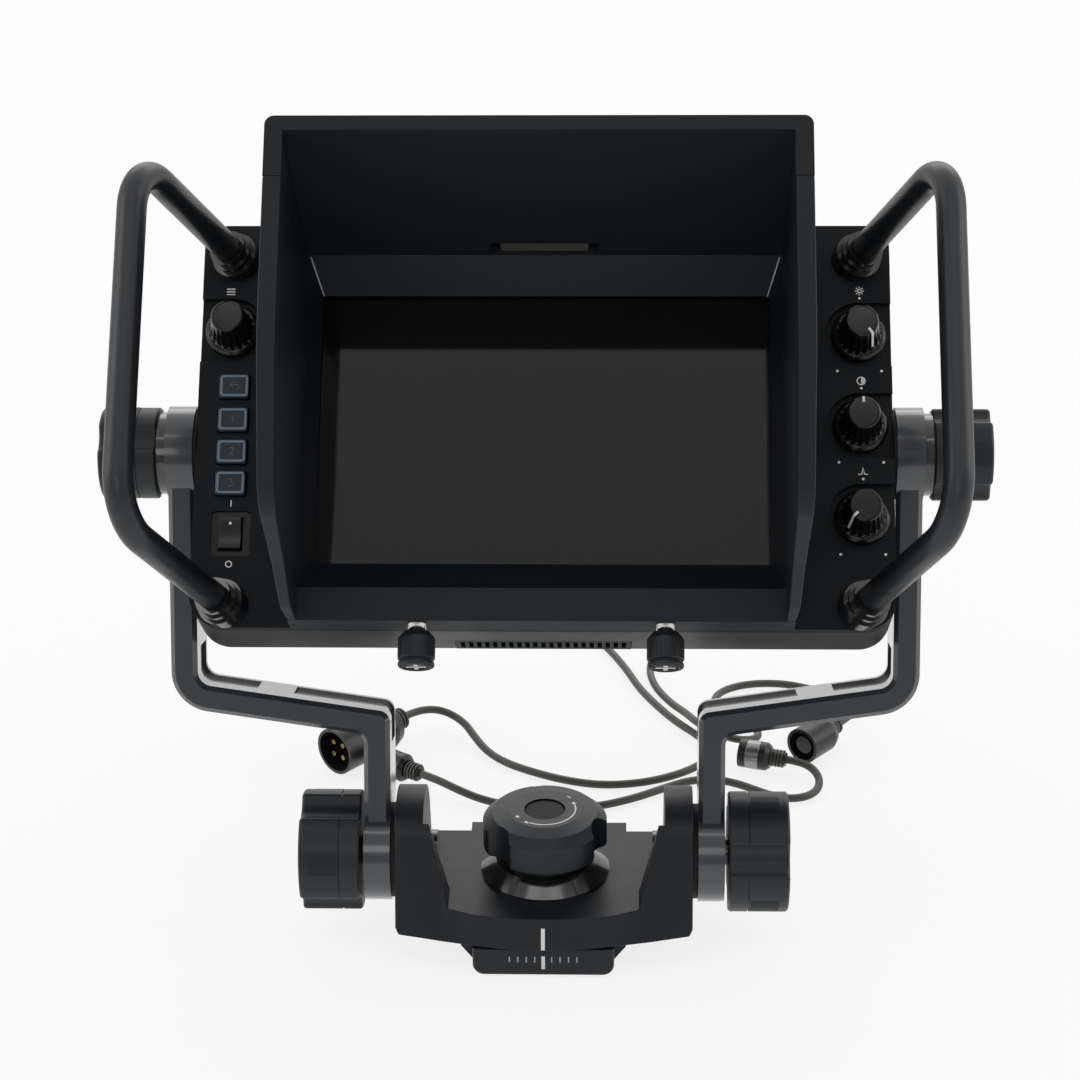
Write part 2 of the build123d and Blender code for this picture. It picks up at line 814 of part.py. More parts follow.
# Inlets in the housing's back
with BuildPart() as power_inlet:
    with BuildSketch(Plane.XY.offset(-head_depth - inlet_plate)):
        with Locations((power_inlet_x, inlet_u)):
            RectangleRounded(2 * inlet_plate_half, 2 * inlet_plate_half, inlet_plate_corner)
    extrude(amount=inlet_plate)
    with BuildSketch(Plane.XY.offset(-head_depth)):
        with Locations((power_inlet_x, inlet_u)):
            Circle(inlet_body_radius)
    extrude(amount=inlet_length)
    with BuildSketch(Plane.XY.offset(-head_depth - inlet_plate)):
        with Locations((power_inlet_x, inlet_u)):
            Circle(inlet_body_radius - inlet_wall)
    extrude(amount=inlet_plate + inlet_length - inlet_wall, mode=Mode.SUBTRACT)
    with BuildSketch(Plane.XY.offset(-head_depth + inlet_length - inlet_wall)):
        with Locations((power_inlet_x, inlet_u)):
            with PolarLocations(inlet_pin_ring, 4, start_angle=45):
                Circle(inlet_pin_radius)
    extrude(amount=-inlet_length)
save(power_inlet, "power_inlet", head_plane)
with BuildPart() as video_inlets:
    for jack_x in video_inlet_xs:
        with BuildSketch(Plane.XY.offset(-head_depth - jack_length)):
            with Locations((jack_x, inlet_u)):
                Circle(jack_radius)
        extrude(amount=jack_length + inlet_length)
        with BuildSketch(Plane.XY.offset(-head_depth - jack_nut_thickness)):
            with Locations((jack_x, inlet_u)):
                RegularPolygon(jack_radius + jack_nut, 6)
        extrude(amount=jack_nut_thickness)
        with BuildSketch(Plane.XY.offset(-head_depth - jack_length)):
            with Locations((jack_x, inlet_u)):
                Circle(jack_radius - jack_wall)
                Circle(jack_pin_radius, mode=Mode.SUBTRACT)
        extrude(amount=jack_length - jack_floor, mode=Mode.SUBTRACT)
save(video_inlets, "video_inlets", head_plane)

# Housing screws round the back
with BuildPart() as housing_screws:
    with BuildSketch(Plane.XY.offset(-head_depth)):
        with Locations((0, head_middle)):
            with GridLocations(
                head_half_width - screw_end_inset, head_height - 2 * screw_end_inset, 3, 2
            ):
                Circle(screw_head_radius)
    extrude(amount=-screw_head_height)
    chamfer(housing_screws.faces().group_by(Axis.Z)[0].edges(), screw_head_edge)
save(housing_screws, "housing_screws", head_plane)


def tube_handle(side: int) -> BuildPart:
    """Bent tube handle from the upper collar out, down and back to the lower collar."""
    corner_high = Vector(side * handle_out_x, handle_out_high_u, handle_out_n)
    corner_low = Vector(side * handle_out_x, handle_out_low_u, handle_out_n)
    foot_high = Vector(side * handle_x, handle_high_u, 0)
    foot_low = Vector(side * handle_x, handle_low_u, 0)
    lead_high = (corner_high - foot_high).normalized()
    lead_low = (corner_low - foot_low).normalized()
    with BuildPart() as handle:
        with BuildLine() as centre:
            FilletPolyline(
                foot_high + lead_high * handle_seat,
                corner_high,
                corner_low,
                foot_low + lead_low * handle_seat,
                radius=[handle_high_bend, handle_low_bend],
            )
        with BuildSketch(Plane(origin=centre.line @ 0, z_dir=centre.line % 0)):
            Circle(handle_radius)
        sweep(path=centre.line)
    return handle


def collar_directions(side: int) -> list[tuple[Vector, Vector]]:
    """Foot of each collar and the way its tube leaves it."""
    feet = []
    for foot_u, out_u in ((handle_high_u, handle_out_high_u), (handle_low_u, handle_out_low_u)):
        foot = Vector(side * handle_x, foot_u, 0)
        corner = Vector(side * handle_out_x, out_u, handle_out_n)
        feet.append((foot, (corner - foot).normalized()))
    return feet


handle_seat = handle_radius * tan(radians(handle_splay))
for side, word in ((-1, "left"), (1, "right")):
    save(tube_handle(side), f"handle_{word}", head_plane)

# Stepped collars that hold the handle's ends on the panel, turned about the tubes they carry
with BuildPart() as handle_collars:
    for side in (-1, 1):
        for foot, way in collar_directions(side):
            for step, radius in enumerate((collar_base_radius, collar_mid_radius, collar_tip_radius)):
                with BuildSketch(Plane(origin=foot - way * collar_root, z_dir=way)):
                    Circle(radius)
                extrude(amount=collar_root + (step + 1) * collar_step)
    with BuildSketch(Plane.XY):
        Rectangle(2 * head_half_width, 2 * head_height)
    extrude(amount=-2 * collar_root - collar_base_radius, mode=Mode.SUBTRACT)
    for side in (-1, 1):
        for foot, way in collar_directions(side):
            with BuildSketch(Plane(origin=foot - way * collar_root, z_dir=way)):
                Circle(handle_radius + run_gap)
            extrude(amount=collar_root + 4 * collar_step, mode=Mode.SUBTRACT)
save(handle_collars, "handle_collars", head_plane)

# Potentiometers and the menu encoder behind the panel, with their shafts
with BuildPart() as control_pots:
    for dial_x, dial_u in [(control_x, u) for u in control_us] + [(menu_x, menu_u)]:
        with BuildSketch(Plane.XY.offset(-panel_thickness)):
            with Locations((dial_x, dial_u)):
                Circle(pot_radius)
        extrude(amount=-pot_length)
        with BuildSketch(Plane.XY.offset(-panel_thickness)):
            with Locations((dial_x, dial_u)):
                Circle(shaft_radius)
        extrude(amount=panel_thickness - recess_depth + seat_gap + dial_bore_depth)
save(control_pots, "control_pots", head_plane)


def dial(x: float, u: float) -> BuildPart:
    """Skirted and fluted dial on its shaft."""
    foot = -recess_depth + seat_gap
    with BuildPart() as knob:
        with BuildSketch(Plane.XZ):
            with BuildLine():
                Polyline(
                    (0, foot),
                    (dial_skirt_radius, foot),
                    (dial_skirt_radius, foot + dial_skirt_height * dial_skirt_band),
                    (dial_grip_radius + dial_ledge, foot + dial_skirt_height),
                    (dial_grip_radius, foot + dial_skirt_height),
                    (dial_tip_radius + dial_tip_round, foot + dial_height - dial_tip_round),
                    (dial_tip_radius, foot + dial_height),
                    (0, foot + dial_height),
                    close=True,
                )
            make_face()
        revolve(axis=Axis.Z)
        with BuildSketch(Plane.XY.offset(foot + dial_skirt_height)):
            with PolarLocations(dial_grip_radius + dial_flute_radius * dial_flute_share, dial_flutes):
                Circle(dial_flute_radius)
        extrude(amount=dial_height, mode=Mode.SUBTRACT)
        with BuildSketch(Plane.XY.offset(foot)):
            Circle(shaft_radius + run_gap)
        extrude(amount=dial_bore_depth + seat_gap, mode=Mode.SUBTRACT)
    knob.part = knob.part.moved(Location((x, u, 0)))
    return knob


for name, dial_x, dial_u in (
    ("menu_knob", menu_x, menu_u),
    ("brightness_knob", control_x, control_us[0]),
    ("contrast_knob", control_x, control_us[1]),
    ("peaking_knob", control_x, control_us[2]),
):
    save(dial(dial_x, dial_u), name, head_plane)

# Push buttons with a flange that stops them behind the panel
for count, button_u in enumerate(button_us, start=1):
    with BuildPart() as button:
        with BuildSketch(Plane.XY.offset(-panel_thickness - seat_gap)):
            with Locations((button_x, button_u)):
                RectangleRounded(button_width, button_height, button_corner)
        extrude(amount=panel_thickness + seat_gap + button_proud)
        fillet(button.faces().sort_by(Axis.Z)[-1].edges(), button_round)
        with BuildSketch(Plane.XY.offset(-panel_thickness - seat_gap)):
            with Locations((button_x, button_u)):
                Rectangle(button_width + 2 * button_flange, button_height + button_flange)
        extrude(amount=-button_flange_thickness)
    save(button, f"button_{count}", head_plane)

# Switch frame and its rocker on two small pins
with BuildPart() as switch_frame:
    with BuildSketch(Plane.XY.offset(-panel_thickness)):
        with Locations((switch_x, switch_u)):
            RectangleRounded(switch_width, switch_length, switch_corner - run_gap)
            Rectangle(rocker_width + 2 * part_gap, rocker_length + 3 * part_gap, mode=Mode.SUBTRACT)
    extrude(amount=panel_thickness - switch_sunk)
    with BuildSketch(side_plane(switch_x - rocker_width / 2 - rocker_pin_length - rocker_pin_play)):
        with Locations((switch_u, -rocker_pivot_depth - switch_sunk)):
            Circle(rocker_pin_radius + run_gap)
    extrude(amount=rocker_width + 2 * (rocker_pin_length + rocker_pin_play), mode=Mode.SUBTRACT)
save(switch_frame, "switch_frame", head_plane)
with BuildPart() as rocker_switch:
    with BuildSketch(side_plane(switch_x - rocker_width / 2)):
        with BuildLine():
            half = rocker_length / 2
            Polyline(
                (switch_u - half, -rocker_pivot_depth - rocker_skirt),
                (switch_u + half, -rocker_pivot_depth - rocker_skirt),
                (switch_u + half - rocker_draft, rocker_proud),
                (switch_u, rocker_proud - rocker_dip),
                (switch_u - half + rocker_draft, rocker_proud),
                close=True,
            )
        make_face()
    extrude(amount=rocker_width)
    with BuildSketch(side_plane(switch_x - rocker_width / 2 - rocker_pin_length)):
        with Locations((switch_u, -rocker_pivot_depth - switch_sunk)):
            Circle(rocker_pin_radius)
    extrude(amount=rocker_width + 2 * rocker_pin_length)
save(rocker_switch, "rocker_switch", head_plane)

# Bezel frame: the ring that slopes from the glass out to the hood, with the chin below
with BuildPart() as bezel_frame:
    bezel_top = hood_top_inner_rear + hood_ledge
    with BuildSketch(Plane.XY.offset(seat_gap)):
        with Locations((0, (bezel_top - hood_chin) / 2)):
            Rectangle(2 * hood_half_rear, bezel_top + hood_chin)
    extrude(amount=hood_start - seat_gap)
    with BuildSketch(Plane.XY.offset(seat_gap)):
        Rectangle(2 * screen_half_width, 2 * screen_half_height)
    with BuildSketch(Plane.XY.offset(hood_start)):
        with Locations((0, (hood_top_inner_rear - chin_inner) / 2)):
            Rectangle(2 * hood_inner_half, hood_top_inner_rear + chin_inner)
    loft(ruled=True, mode=Mode.SUBTRACT)
    for side in (-1, 1):
        with BuildSketch(Plane.XZ.offset(hood_chin)):
            with Locations((side * thumb_x, thumb_n)):
                Circle(thumb_shank_radius + run_gap)
        extrude(amount=-thumb_thread - part_gap, mode=Mode.SUBTRACT)
save(bezel_frame, "bezel_frame", head_plane)


def hood_wall_section(low_u: float, high_u: float) -> BuildPart:
    """Both tapered side walls of the hood between two heights, in one builder."""
    with BuildPart() as walls:
        with BuildSketch(Plane.XZ.offset(-low_u)):
            with BuildLine():
                Polyline(
                    (-hood_half_rear, hood_start),
                    (hood_half_rear, hood_start),
                    (hood_half_front, hood_reach),
                    (-hood_half_front, hood_reach),
                    close=True,
                )
            make_face()
        extrude(amount=low_u - high_u)
    return walls


# Hood top: the roof with its drawn-down corners, a slanted ceiling and the notch over the screen
seam_u = hood_top_u - hood_seam_drop
with BuildPart() as hood_top:
    add(hood_wall_section(seam_u, hood_top_u).part)
    fillet(hood_top.edges().filter_by(GeomType.LINE).sort_by(Axis.Y)[-4:].filter_by(
        lambda edge: abs(edge.tangent_at(0).Z) > 0.9), hood_corner)
    with BuildSketch(Plane.XY.offset(seat_gap)):
        with Locations((0, (hood_top_u + bezel_top) / 2)):
            Rectangle(2 * hood_half_rear, hood_top_u - bezel_top)
    extrude(amount=hood_start - seat_gap)
    with BuildSketch(side_plane(-hood_inner_half)):
        with BuildLine():
            Polyline(
                (seam_u, hood_start),
                (hood_top_inner_rear, hood_start),
                (hood_top_inner_front, hood_reach),
                (seam_u, hood_reach),
                close=True,
            )
        make_face()
    extrude(amount=2 * hood_inner_half, mode=Mode.SUBTRACT)
    with BuildSketch(Plane.XY.offset(hood_start)):
        with Locations((0, hood_top_inner_rear)):
            Rectangle(2 * window_notch, 2 * (window_height + window_lift + part_gap))
    extrude(amount=window_end - hood_start, mode=Mode.SUBTRACT)
save(hood_top, "hood_top", head_plane)

with BuildPart() as hood_window:
    with BuildSketch(Plane.XY.offset(hood_start + seat_gap)):
        with Locations((0, hood_top_inner_rear + window_height / 2 + window_lift)):
            RectangleRounded(2 * window_half_width, window_height, window_corner)
    extrude(amount=window_end - hood_start - seat_gap)
save(hood_window, "hood_window", head_plane)

# Hood sides: tapered walls whose front edge sweeps back to the chin
for side, word in ((-1, "left"), (1, "right")):
    with BuildPart() as hood_side:
        with BuildSketch(Plane.XZ.offset(hood_chin)):
            with BuildLine():
                Polyline(
                    (side * hood_inner_half, hood_start),
                    (side * hood_half_rear, hood_start),
                    (side * hood_half_front, hood_reach),
                    (side * hood_inner_half, hood_reach),
                    close=True,
                )
            make_face()
        extrude(amount=-(hood_chin + seam_u))
        with BuildSketch(side_plane(-hood_half_front)):
            with BuildLine():
                FilletPolyline(
                    (seam_u, hood_reach),
                    (0, hood_reach),
                    (-hood_cheek_u, hood_cheek_reach),
                    (-hood_jaw_u, hood_jaw_reach),
                    (-hood_chin, hood_heel_reach),
                    (-hood_chin, hood_start),
                    radius=hood_cheek_bends,
                )
                Polyline((-hood_chin, hood_start), (seam_u, hood_start), (seam_u, hood_reach))
            make_face()
        extrude(amount=2 * hood_half_front, mode=Mode.INTERSECT)
    save(hood_side, f"hood_side_{word}", head_plane)

# Thumbscrews that clamp the hood from below
for side, word in ((-1, "left"), (1, "right")):
    with BuildPart() as thumbscrew:
        screw_axis = Axis((side * thumb_x, 0, thumb_n), (0, 1, 0))
        neck_end = -hood_chin - thumb_neck
        with BuildSketch(Plane(origin=(side * thumb_x, 0, thumb_n), x_dir=(1, 0, 0), z_dir=(0, 0, 1))):
            with BuildLine():
                Polyline(
                    (0, -hood_chin + thumb_thread),
                    (thumb_shank_radius, -hood_chin + thumb_thread),
                    (thumb_shank_radius, neck_end),
                    (thumb_head_radius - thumb_head_slope, neck_end),
                    (thumb_head_radius, neck_end - thumb_head_slope),
                    (thumb_head_radius, neck_end - thumb_head_length + thumb_head_edge),
                    (thumb_head_radius - thumb_head_edge, neck_end - thumb_head_length),
                    (0, neck_end - thumb_head_length),
                    close=True,
                )
            make_face()
        revolve(axis=screw_axis)
        with BuildSketch(Plane.XZ.offset(-neck_end + thumb_head_length)):
            with Locations((side * thumb_x, thumb_n)):
                Rectangle(thumb_cross_width, thumb_cross_length)
                Rectangle(thumb_cross_length, thumb_cross_width)
        extrude(amount=-thumb_cross_depth, mode=Mode.SUBTRACT)
    save(thumbscrew, f"thumbscrew_{word}", head_plane)

# Leads that lie on the table behind: hand-chosen routes, one tube each
power_route = [
    (-59, 131.5, 9.2),
    (-54, 137.2, 9.2),
    (-45, 140.8, 7.8),
    (-36, 136, 5.2),
    (-31, 127, 3.0),
    (-26, 118, 1.7),
    (-18.5, 109.5, 1.5),
    (-8, 102.5, 1.5),
    (5, 96, 1.5),
    (19, 92.5, 1.5),
    (34, 94.5, 1.5),
    (47, 100.5, 1.5),
    (57, 109, 1.5),
    (61.5, 119, 1.5),
    (57, 130.5, 1.5),
    (48, 142, 1.5),
    (40, 156, 1.5),
    (33, 171, 1.5),
    (28, 187, 1.5),
    (22, 202, 1.5),
    (15, 216, 1.5),
    (12, 231, 1.5),
    (18.5, 245, 1.5),
    (32, 251.5, 1.5),
    (46, 246.5, 1.5),
    (53, 233, 1.5),
    (49.5, 218, 1.5),
    (41.5, 204, 1.5),
    (37, 189, 1.5),
    (39, 173, 1.5),
    (45.5, 157, 2.2),
    (51.5, 143.5, 5.0),
    (55, 131.5, 7.8),
    (62, 122.5, 7.8),
    (72, 121.5, 5.0),
    (80, 128.5, 2.2),
    (78.5, 139.5, 1.5),
    (69.5, 147.5, 1.5),
    (62, 156.5, 1.5),
    (65, 168, 1.5),
    (76.5, 175, 1.5),
    (91, 175.5, 1.5),
    (103.5, 170, 1.6),
    (112, 160.5, 2.8),
    (117.3, 150, 5.2),
    (117.5, 140.5, 7.0),
    (110, 131.5, 7.0),
]
video_route = [
    (-50, 94, 5.4),
    (-43.5, 89.6, 5.4),
    (-35.5, 84.5, 4.0),
    (-25.5, 79.8, 2.1),
    (-12, 76, 1.5),
    (3, 74.5, 1.5),
    (18, 77, 1.5),
    (31, 83, 1.5),
    (42, 90.5, 1.5),
    (51.5, 96.5, 1.5),
    (61.5, 98, 1.5),
    (70, 94.5, 1.5),
    (76.5, 89.8, 1.5),
    (82.2, 85.8, 1.5),
    (89, 83.2, 1.5),
    (96.2, 85, 1.5),
    (100.8, 90.9, 1.6),
    (101, 98.2, 3.4),
    (96, 104, 5.4),
    (88.9, 106.2, 5.4),
]


def corner_radii(route: list[Vector]) -> list[float]:
    """Largest tangent arc at each corner: 0.45 of the shorter run over the tangent of half the turn."""
    radii = []
    for before, corner, after in zip(route, route[1:], route[2:]):
        run_in, run_out = corner - before, after - corner
        turn = radians(run_in.get_angle(run_out))
        radii.append(0.45 * min(run_in.length, run_out.length) / tan(turn / 2))
    return radii


def cord_tube(name: str, points: list[tuple[float, float, float]]) -> None:
    """Sweep one lead along its route, print its arcs and its length, and write it."""
    route = [Vector(*point) for point in points]
    radii = corner_radii(route)
    with BuildPart() as tube:
        with BuildLine() as path:
            FilletPolyline(*route, radius=radii)
        with BuildSketch(Plane(origin=path.line @ 0, z_dir=path.line % 0)):
            Circle(lead_radius)
        sweep(path=path.line)
    length = path.wires()[0].length
    expected = pi * lead_radius**2 * length
    print(f"{name}: length {length:.1f}, volume {tube.part.volume / expected:.4f} of section times length, arcs",
          ", ".join(f"{radius:.1f}" for radius in radii))
    save(tube, name)


def end_plane(points: list[tuple[float, float, float]], start: bool) -> Plane:
    """Plane at one end of a route, looking away from the lead."""
    if start:
        return Plane(origin=points[0], z_dir=Vector(*points[0]) - Vector(*points[1]))
    return Plane(origin=points[-1], z_dir=Vector(*points[-1]) - Vector(*points[-2]))


def round_plug(
    plane: Plane,
    sections: list[tuple[float, float, float]],
    mouth: float,
    pins: list[tuple[float, float]],
    pin_radius: float,
    pin_length: float,
) -> BuildPart:
    """Turned plug on a lead's end, as (near radius, far radius, length) sections, with pins in its open mouth."""
    with BuildPart() as plug:
        reach = 0.0
        for near, far, length in sections:
            with BuildSketch(plane.offset(reach)):
                Circle(near)
            with BuildSketch(plane.offset(reach + length)):
                Circle(far)
            loft()
            reach += length
        with BuildSketch(plane.offset(reach)):
            Circle(sections[-1][1] - plug_wall)
        extrude(amount=-mouth, mode=Mode.SUBTRACT)
        with BuildSketch(plane.offset(reach - mouth)):
            with Locations(*pins):
                Circle(pin_radius)
        extrude(amount=pin_length)
    return plug


four_pins = [
    (power_pin_ring * cos(radians(angle)), power_pin_ring * sin(radians(angle))) for angle in (45, 135, 225, 315)
]
cord_tube("power_lead", power_route)
cord_tube("video_lead", video_route)
power_plug = round_plug(
    end_plane(power_route, True),
    [
        (boot_radius, boot_radius + boot_swell, plug_boot_length),
        (power_plug_radius - plug_shoulder_draw, power_plug_radius, plug_shoulder),
        (power_plug_radius, power_plug_radius, power_plug_length - plug_shoulder),
    ],
    power_plug_mouth,
    four_pins,
    power_pin_radius,
    power_pin_length,
)
save(power_plug, "power_plug")
power_socket = round_plug(
    end_plane(power_route, False),
    [
        (boot_radius - boot_neck, boot_radius + boot_swell / 2, plug_boot_length),
        (socket_shell_radius - plug_wall, socket_shell_radius, socket_shoulder),
        (socket_shell_radius, socket_shell_radius, socket_shell_length - socket_shoulder),
    ],
    socket_mouth,
    [(0, 0)],
    socket_shell_radius / 2,
    socket_mouth - plug_wall,
)
save(power_socket, "power_socket")
for name, start in (("video_plug_left", True), ("video_plug_right", False)):
    video_plug = round_plug(
        end_plane(video_route, start),
        [
            (boot_radius - boot_neck, boot_radius, video_boot_length),
            (video_plug_radius - plug_wall, video_plug_radius, video_plug_shoulder),
            (video_plug_radius, video_plug_radius, video_plug_length - video_plug_shoulder),
        ],
        video_plug_mouth,
        [(0, 0)],
        video_pin_radius,
        video_plug_mouth - plug_wall,
    )
    save(video_plug, name)
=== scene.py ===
"""Studio camera viewfinder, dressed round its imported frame: finishes, marks, dials and leads."""

import json
import logging
import math
from collections.abc import Callable, Iterable, Sequence
from dataclasses import dataclass, field
from enum import Enum

import bmesh
import bpy
from mathutils import Matrix, Vector

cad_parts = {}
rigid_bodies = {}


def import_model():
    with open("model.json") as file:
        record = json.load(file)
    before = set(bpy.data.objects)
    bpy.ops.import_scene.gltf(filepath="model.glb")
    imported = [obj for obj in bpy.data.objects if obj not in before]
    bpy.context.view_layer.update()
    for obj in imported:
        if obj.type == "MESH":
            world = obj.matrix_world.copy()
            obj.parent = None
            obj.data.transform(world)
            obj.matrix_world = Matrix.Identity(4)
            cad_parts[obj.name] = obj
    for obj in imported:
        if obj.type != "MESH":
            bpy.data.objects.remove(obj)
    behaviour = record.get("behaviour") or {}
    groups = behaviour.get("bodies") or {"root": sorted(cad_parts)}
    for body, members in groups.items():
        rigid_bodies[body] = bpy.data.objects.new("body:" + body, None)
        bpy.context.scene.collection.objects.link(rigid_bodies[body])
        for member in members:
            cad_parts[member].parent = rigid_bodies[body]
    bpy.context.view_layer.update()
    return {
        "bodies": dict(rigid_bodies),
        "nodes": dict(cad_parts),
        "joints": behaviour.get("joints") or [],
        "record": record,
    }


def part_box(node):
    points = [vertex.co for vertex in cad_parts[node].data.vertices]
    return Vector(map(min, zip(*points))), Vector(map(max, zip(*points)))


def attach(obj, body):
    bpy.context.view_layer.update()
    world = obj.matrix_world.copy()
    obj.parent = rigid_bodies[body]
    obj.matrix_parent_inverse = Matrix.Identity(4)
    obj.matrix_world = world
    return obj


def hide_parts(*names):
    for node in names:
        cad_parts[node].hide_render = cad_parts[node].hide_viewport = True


Flat = tuple[float, float]
Point = tuple[float, float, float]
Row = tuple[Matrix, dict[str, float]]

log = logging.getLogger("viewfinder")
MM = 0.001
TAU = 2 * math.pi
PRINT_RISE = 0.05
LOBE = 120
WHITE = (1.0, 1.0, 1.0, 1.0)
X, Y, Z = Vector((1, 0, 0)), Vector((0, 1, 0)), Vector((0, 0, 1))


class SocketMath:
    """A value socket that takes part in Python expressions by adding Math nodes."""

    def __init__(self, tree: bpy.types.NodeTree, socket: bpy.types.NodeSocket) -> None:
        """Wrap one output socket of a tree."""
        self.tree = tree
        self.socket = socket

    def combine(self, operation: str, other: "Value" = 0.0) -> "SocketMath":
        """Add one Math node on this value and another.

        Args:
            operation: the node's operation.
            other: the second value, where the operation takes one.

        Returns:
            The node's result.
        """
        node = self.tree.nodes.new("ShaderNodeMath")
        node.operation = operation
        for slot, value in enumerate((self, other)):
            if isinstance(value, SocketMath):
                self.tree.links.new(value.socket, node.inputs[slot])
            else:
                node.inputs[slot].default_value = value
        return SocketMath(self.tree, node.outputs[0])

    def __add__(self, other: "Value") -> "SocketMath":
        """Sum."""
        return self.combine("ADD", other)

    __radd__ = __add__

    def __sub__(self, other: "Value") -> "SocketMath":
        """Difference."""
        return self.combine("SUBTRACT", other)

    def __mul__(self, other: "Value") -> "SocketMath":
        """Product."""
        return self.combine("MULTIPLY", other)

    def maximum(self, other: "Value") -> "SocketMath":
        """Larger of the two."""
        return self.combine("MAXIMUM", other)


Value = SocketMath | float


class TreeBench:
    """A node tree under construction, with a method that adds any node."""

    def __init__(self, tree: bpy.types.NodeTree) -> None:
        """Start on an emptied tree."""
        self.tree = tree
        tree.nodes.clear()

    def node(
        self, kind: str, inputs: dict[str | int, object] | None = None, **settings: object
    ) -> bpy.types.Node:
        """Add a node, set its settings first and then the values or links of its sockets.

        Args:
            kind: the node's type name.
            inputs: socket name or index to a value, a SocketMath or an output socket.
            settings: attributes of the node, such as an operation.

        Returns:
            The new node.
        """
        made = self.tree.nodes.new(kind)
        for key, value in settings.items():
            setattr(made, key, value)
        for key, value in (inputs or {}).items():
            socket = made.inputs[key]
            if isinstance(value, SocketMath):
                self.tree.links.new(value.socket, socket)
            elif isinstance(value, bpy.types.NodeSocket):
                self.tree.links.new(value, socket)
            else:
                socket.default_value = value
        return made

    def value(self, node: bpy.types.Node, output: str | int = 0) -> SocketMath:
        """Wrap one output of a node for expressions."""
        return SocketMath(self.tree, node.outputs[output])


class MaterialBench(TreeBench):
    """One material under construction."""

    def __init__(self, name: str) -> None:
        """Start an empty node material.

        Args:
            name: the material's name.
        """
        self.material = bpy.data.materials.new(name)
        self.material.use_nodes = True
        super().__init__(self.material.node_tree)
        self.output = self.node("ShaderNodeOutputMaterial")

    def object_noise(self, scale: float, detail: float = 3.0) -> SocketMath:
        """Noise on Object coordinates.

        Args:
            scale: features per metre.
            detail: the noise's detail.

        Returns:
            The noise's value.
        """
        place = self.node("ShaderNodeTexCoord").outputs["Object"]
        inputs = {"Vector": place, "Scale": scale, "Detail": detail}
        return self.value(self.node("ShaderNodeTexNoise", inputs))

    def finish(self, shader: bpy.types.NodeSocket) -> bpy.types.Material:
        """Connect the shader to the surface output and return the material."""
        self.tree.links.new(shader, self.output.inputs["Surface"])
        return self.material


@dataclass(frozen=True)
class Coating:
    """A satin, gloss or metal coating with mottled gloss, a fine grain and handling marks."""

    name: str
    colour: Point
    roughness: float
    metallic: float = 0.0
    coat: float = 0.0
    grain: float = 2400.0
    grain_depth: float = 0.00002
    grain_strength: float = 0.25
    mottle: float = 45.0
    mottle_gloss: float = 0.08
    mottle_share: float = 0.6
    smear: float = 5.0
    shade: float = 0.25
    specular: float = 0.5
    coat_roughness: float = 0.12
    least_roughness: float = 0.02

    def tone(self, change: float) -> tuple[float, ...]:
        """The colour made lighter or darker by a share."""
        return (*(channel * (1 + change) for channel in self.colour), 1.0)

    def material(self) -> bpy.types.Material:
        """Build the coating's material.

        Returns:
            The node material.
        """
        bench = MaterialBench(self.name)
        mottle = bench.object_noise(self.mottle)
        smear = bench.object_noise(self.mottle * self.smear, detail=5.0)
        grain = bench.object_noise(self.grain, detail=2.0)
        gloss = (mottle - 0.5) * self.mottle_gloss + (smear - 0.5) * self.mottle_gloss
        share = mottle * self.mottle_share + grain * (1 - self.mottle_share)
        tones = {"Factor": share, "A": self.tone(-self.shade), "B": self.tone(self.shade)}
        colour = bench.node("ShaderNodeMix", tones, data_type="RGBA")
        height = {"Height": grain, "Distance": self.grain_depth, "Strength": self.grain_strength}
        shader = bench.node(
            "ShaderNodeBsdfPrincipled",
            {
                "Base Color": colour.outputs["Result"],
                "Roughness": (gloss + self.roughness).maximum(self.least_roughness),
                "Metallic": self.metallic,
                "Coat Weight": self.coat,
                "Coat Roughness": self.coat_roughness,
                "Specular IOR Level": self.specular,
                "Normal": bench.node("ShaderNodeBump", height).outputs["Normal"],
            },
        )
        return bench.finish(shader.outputs[0])


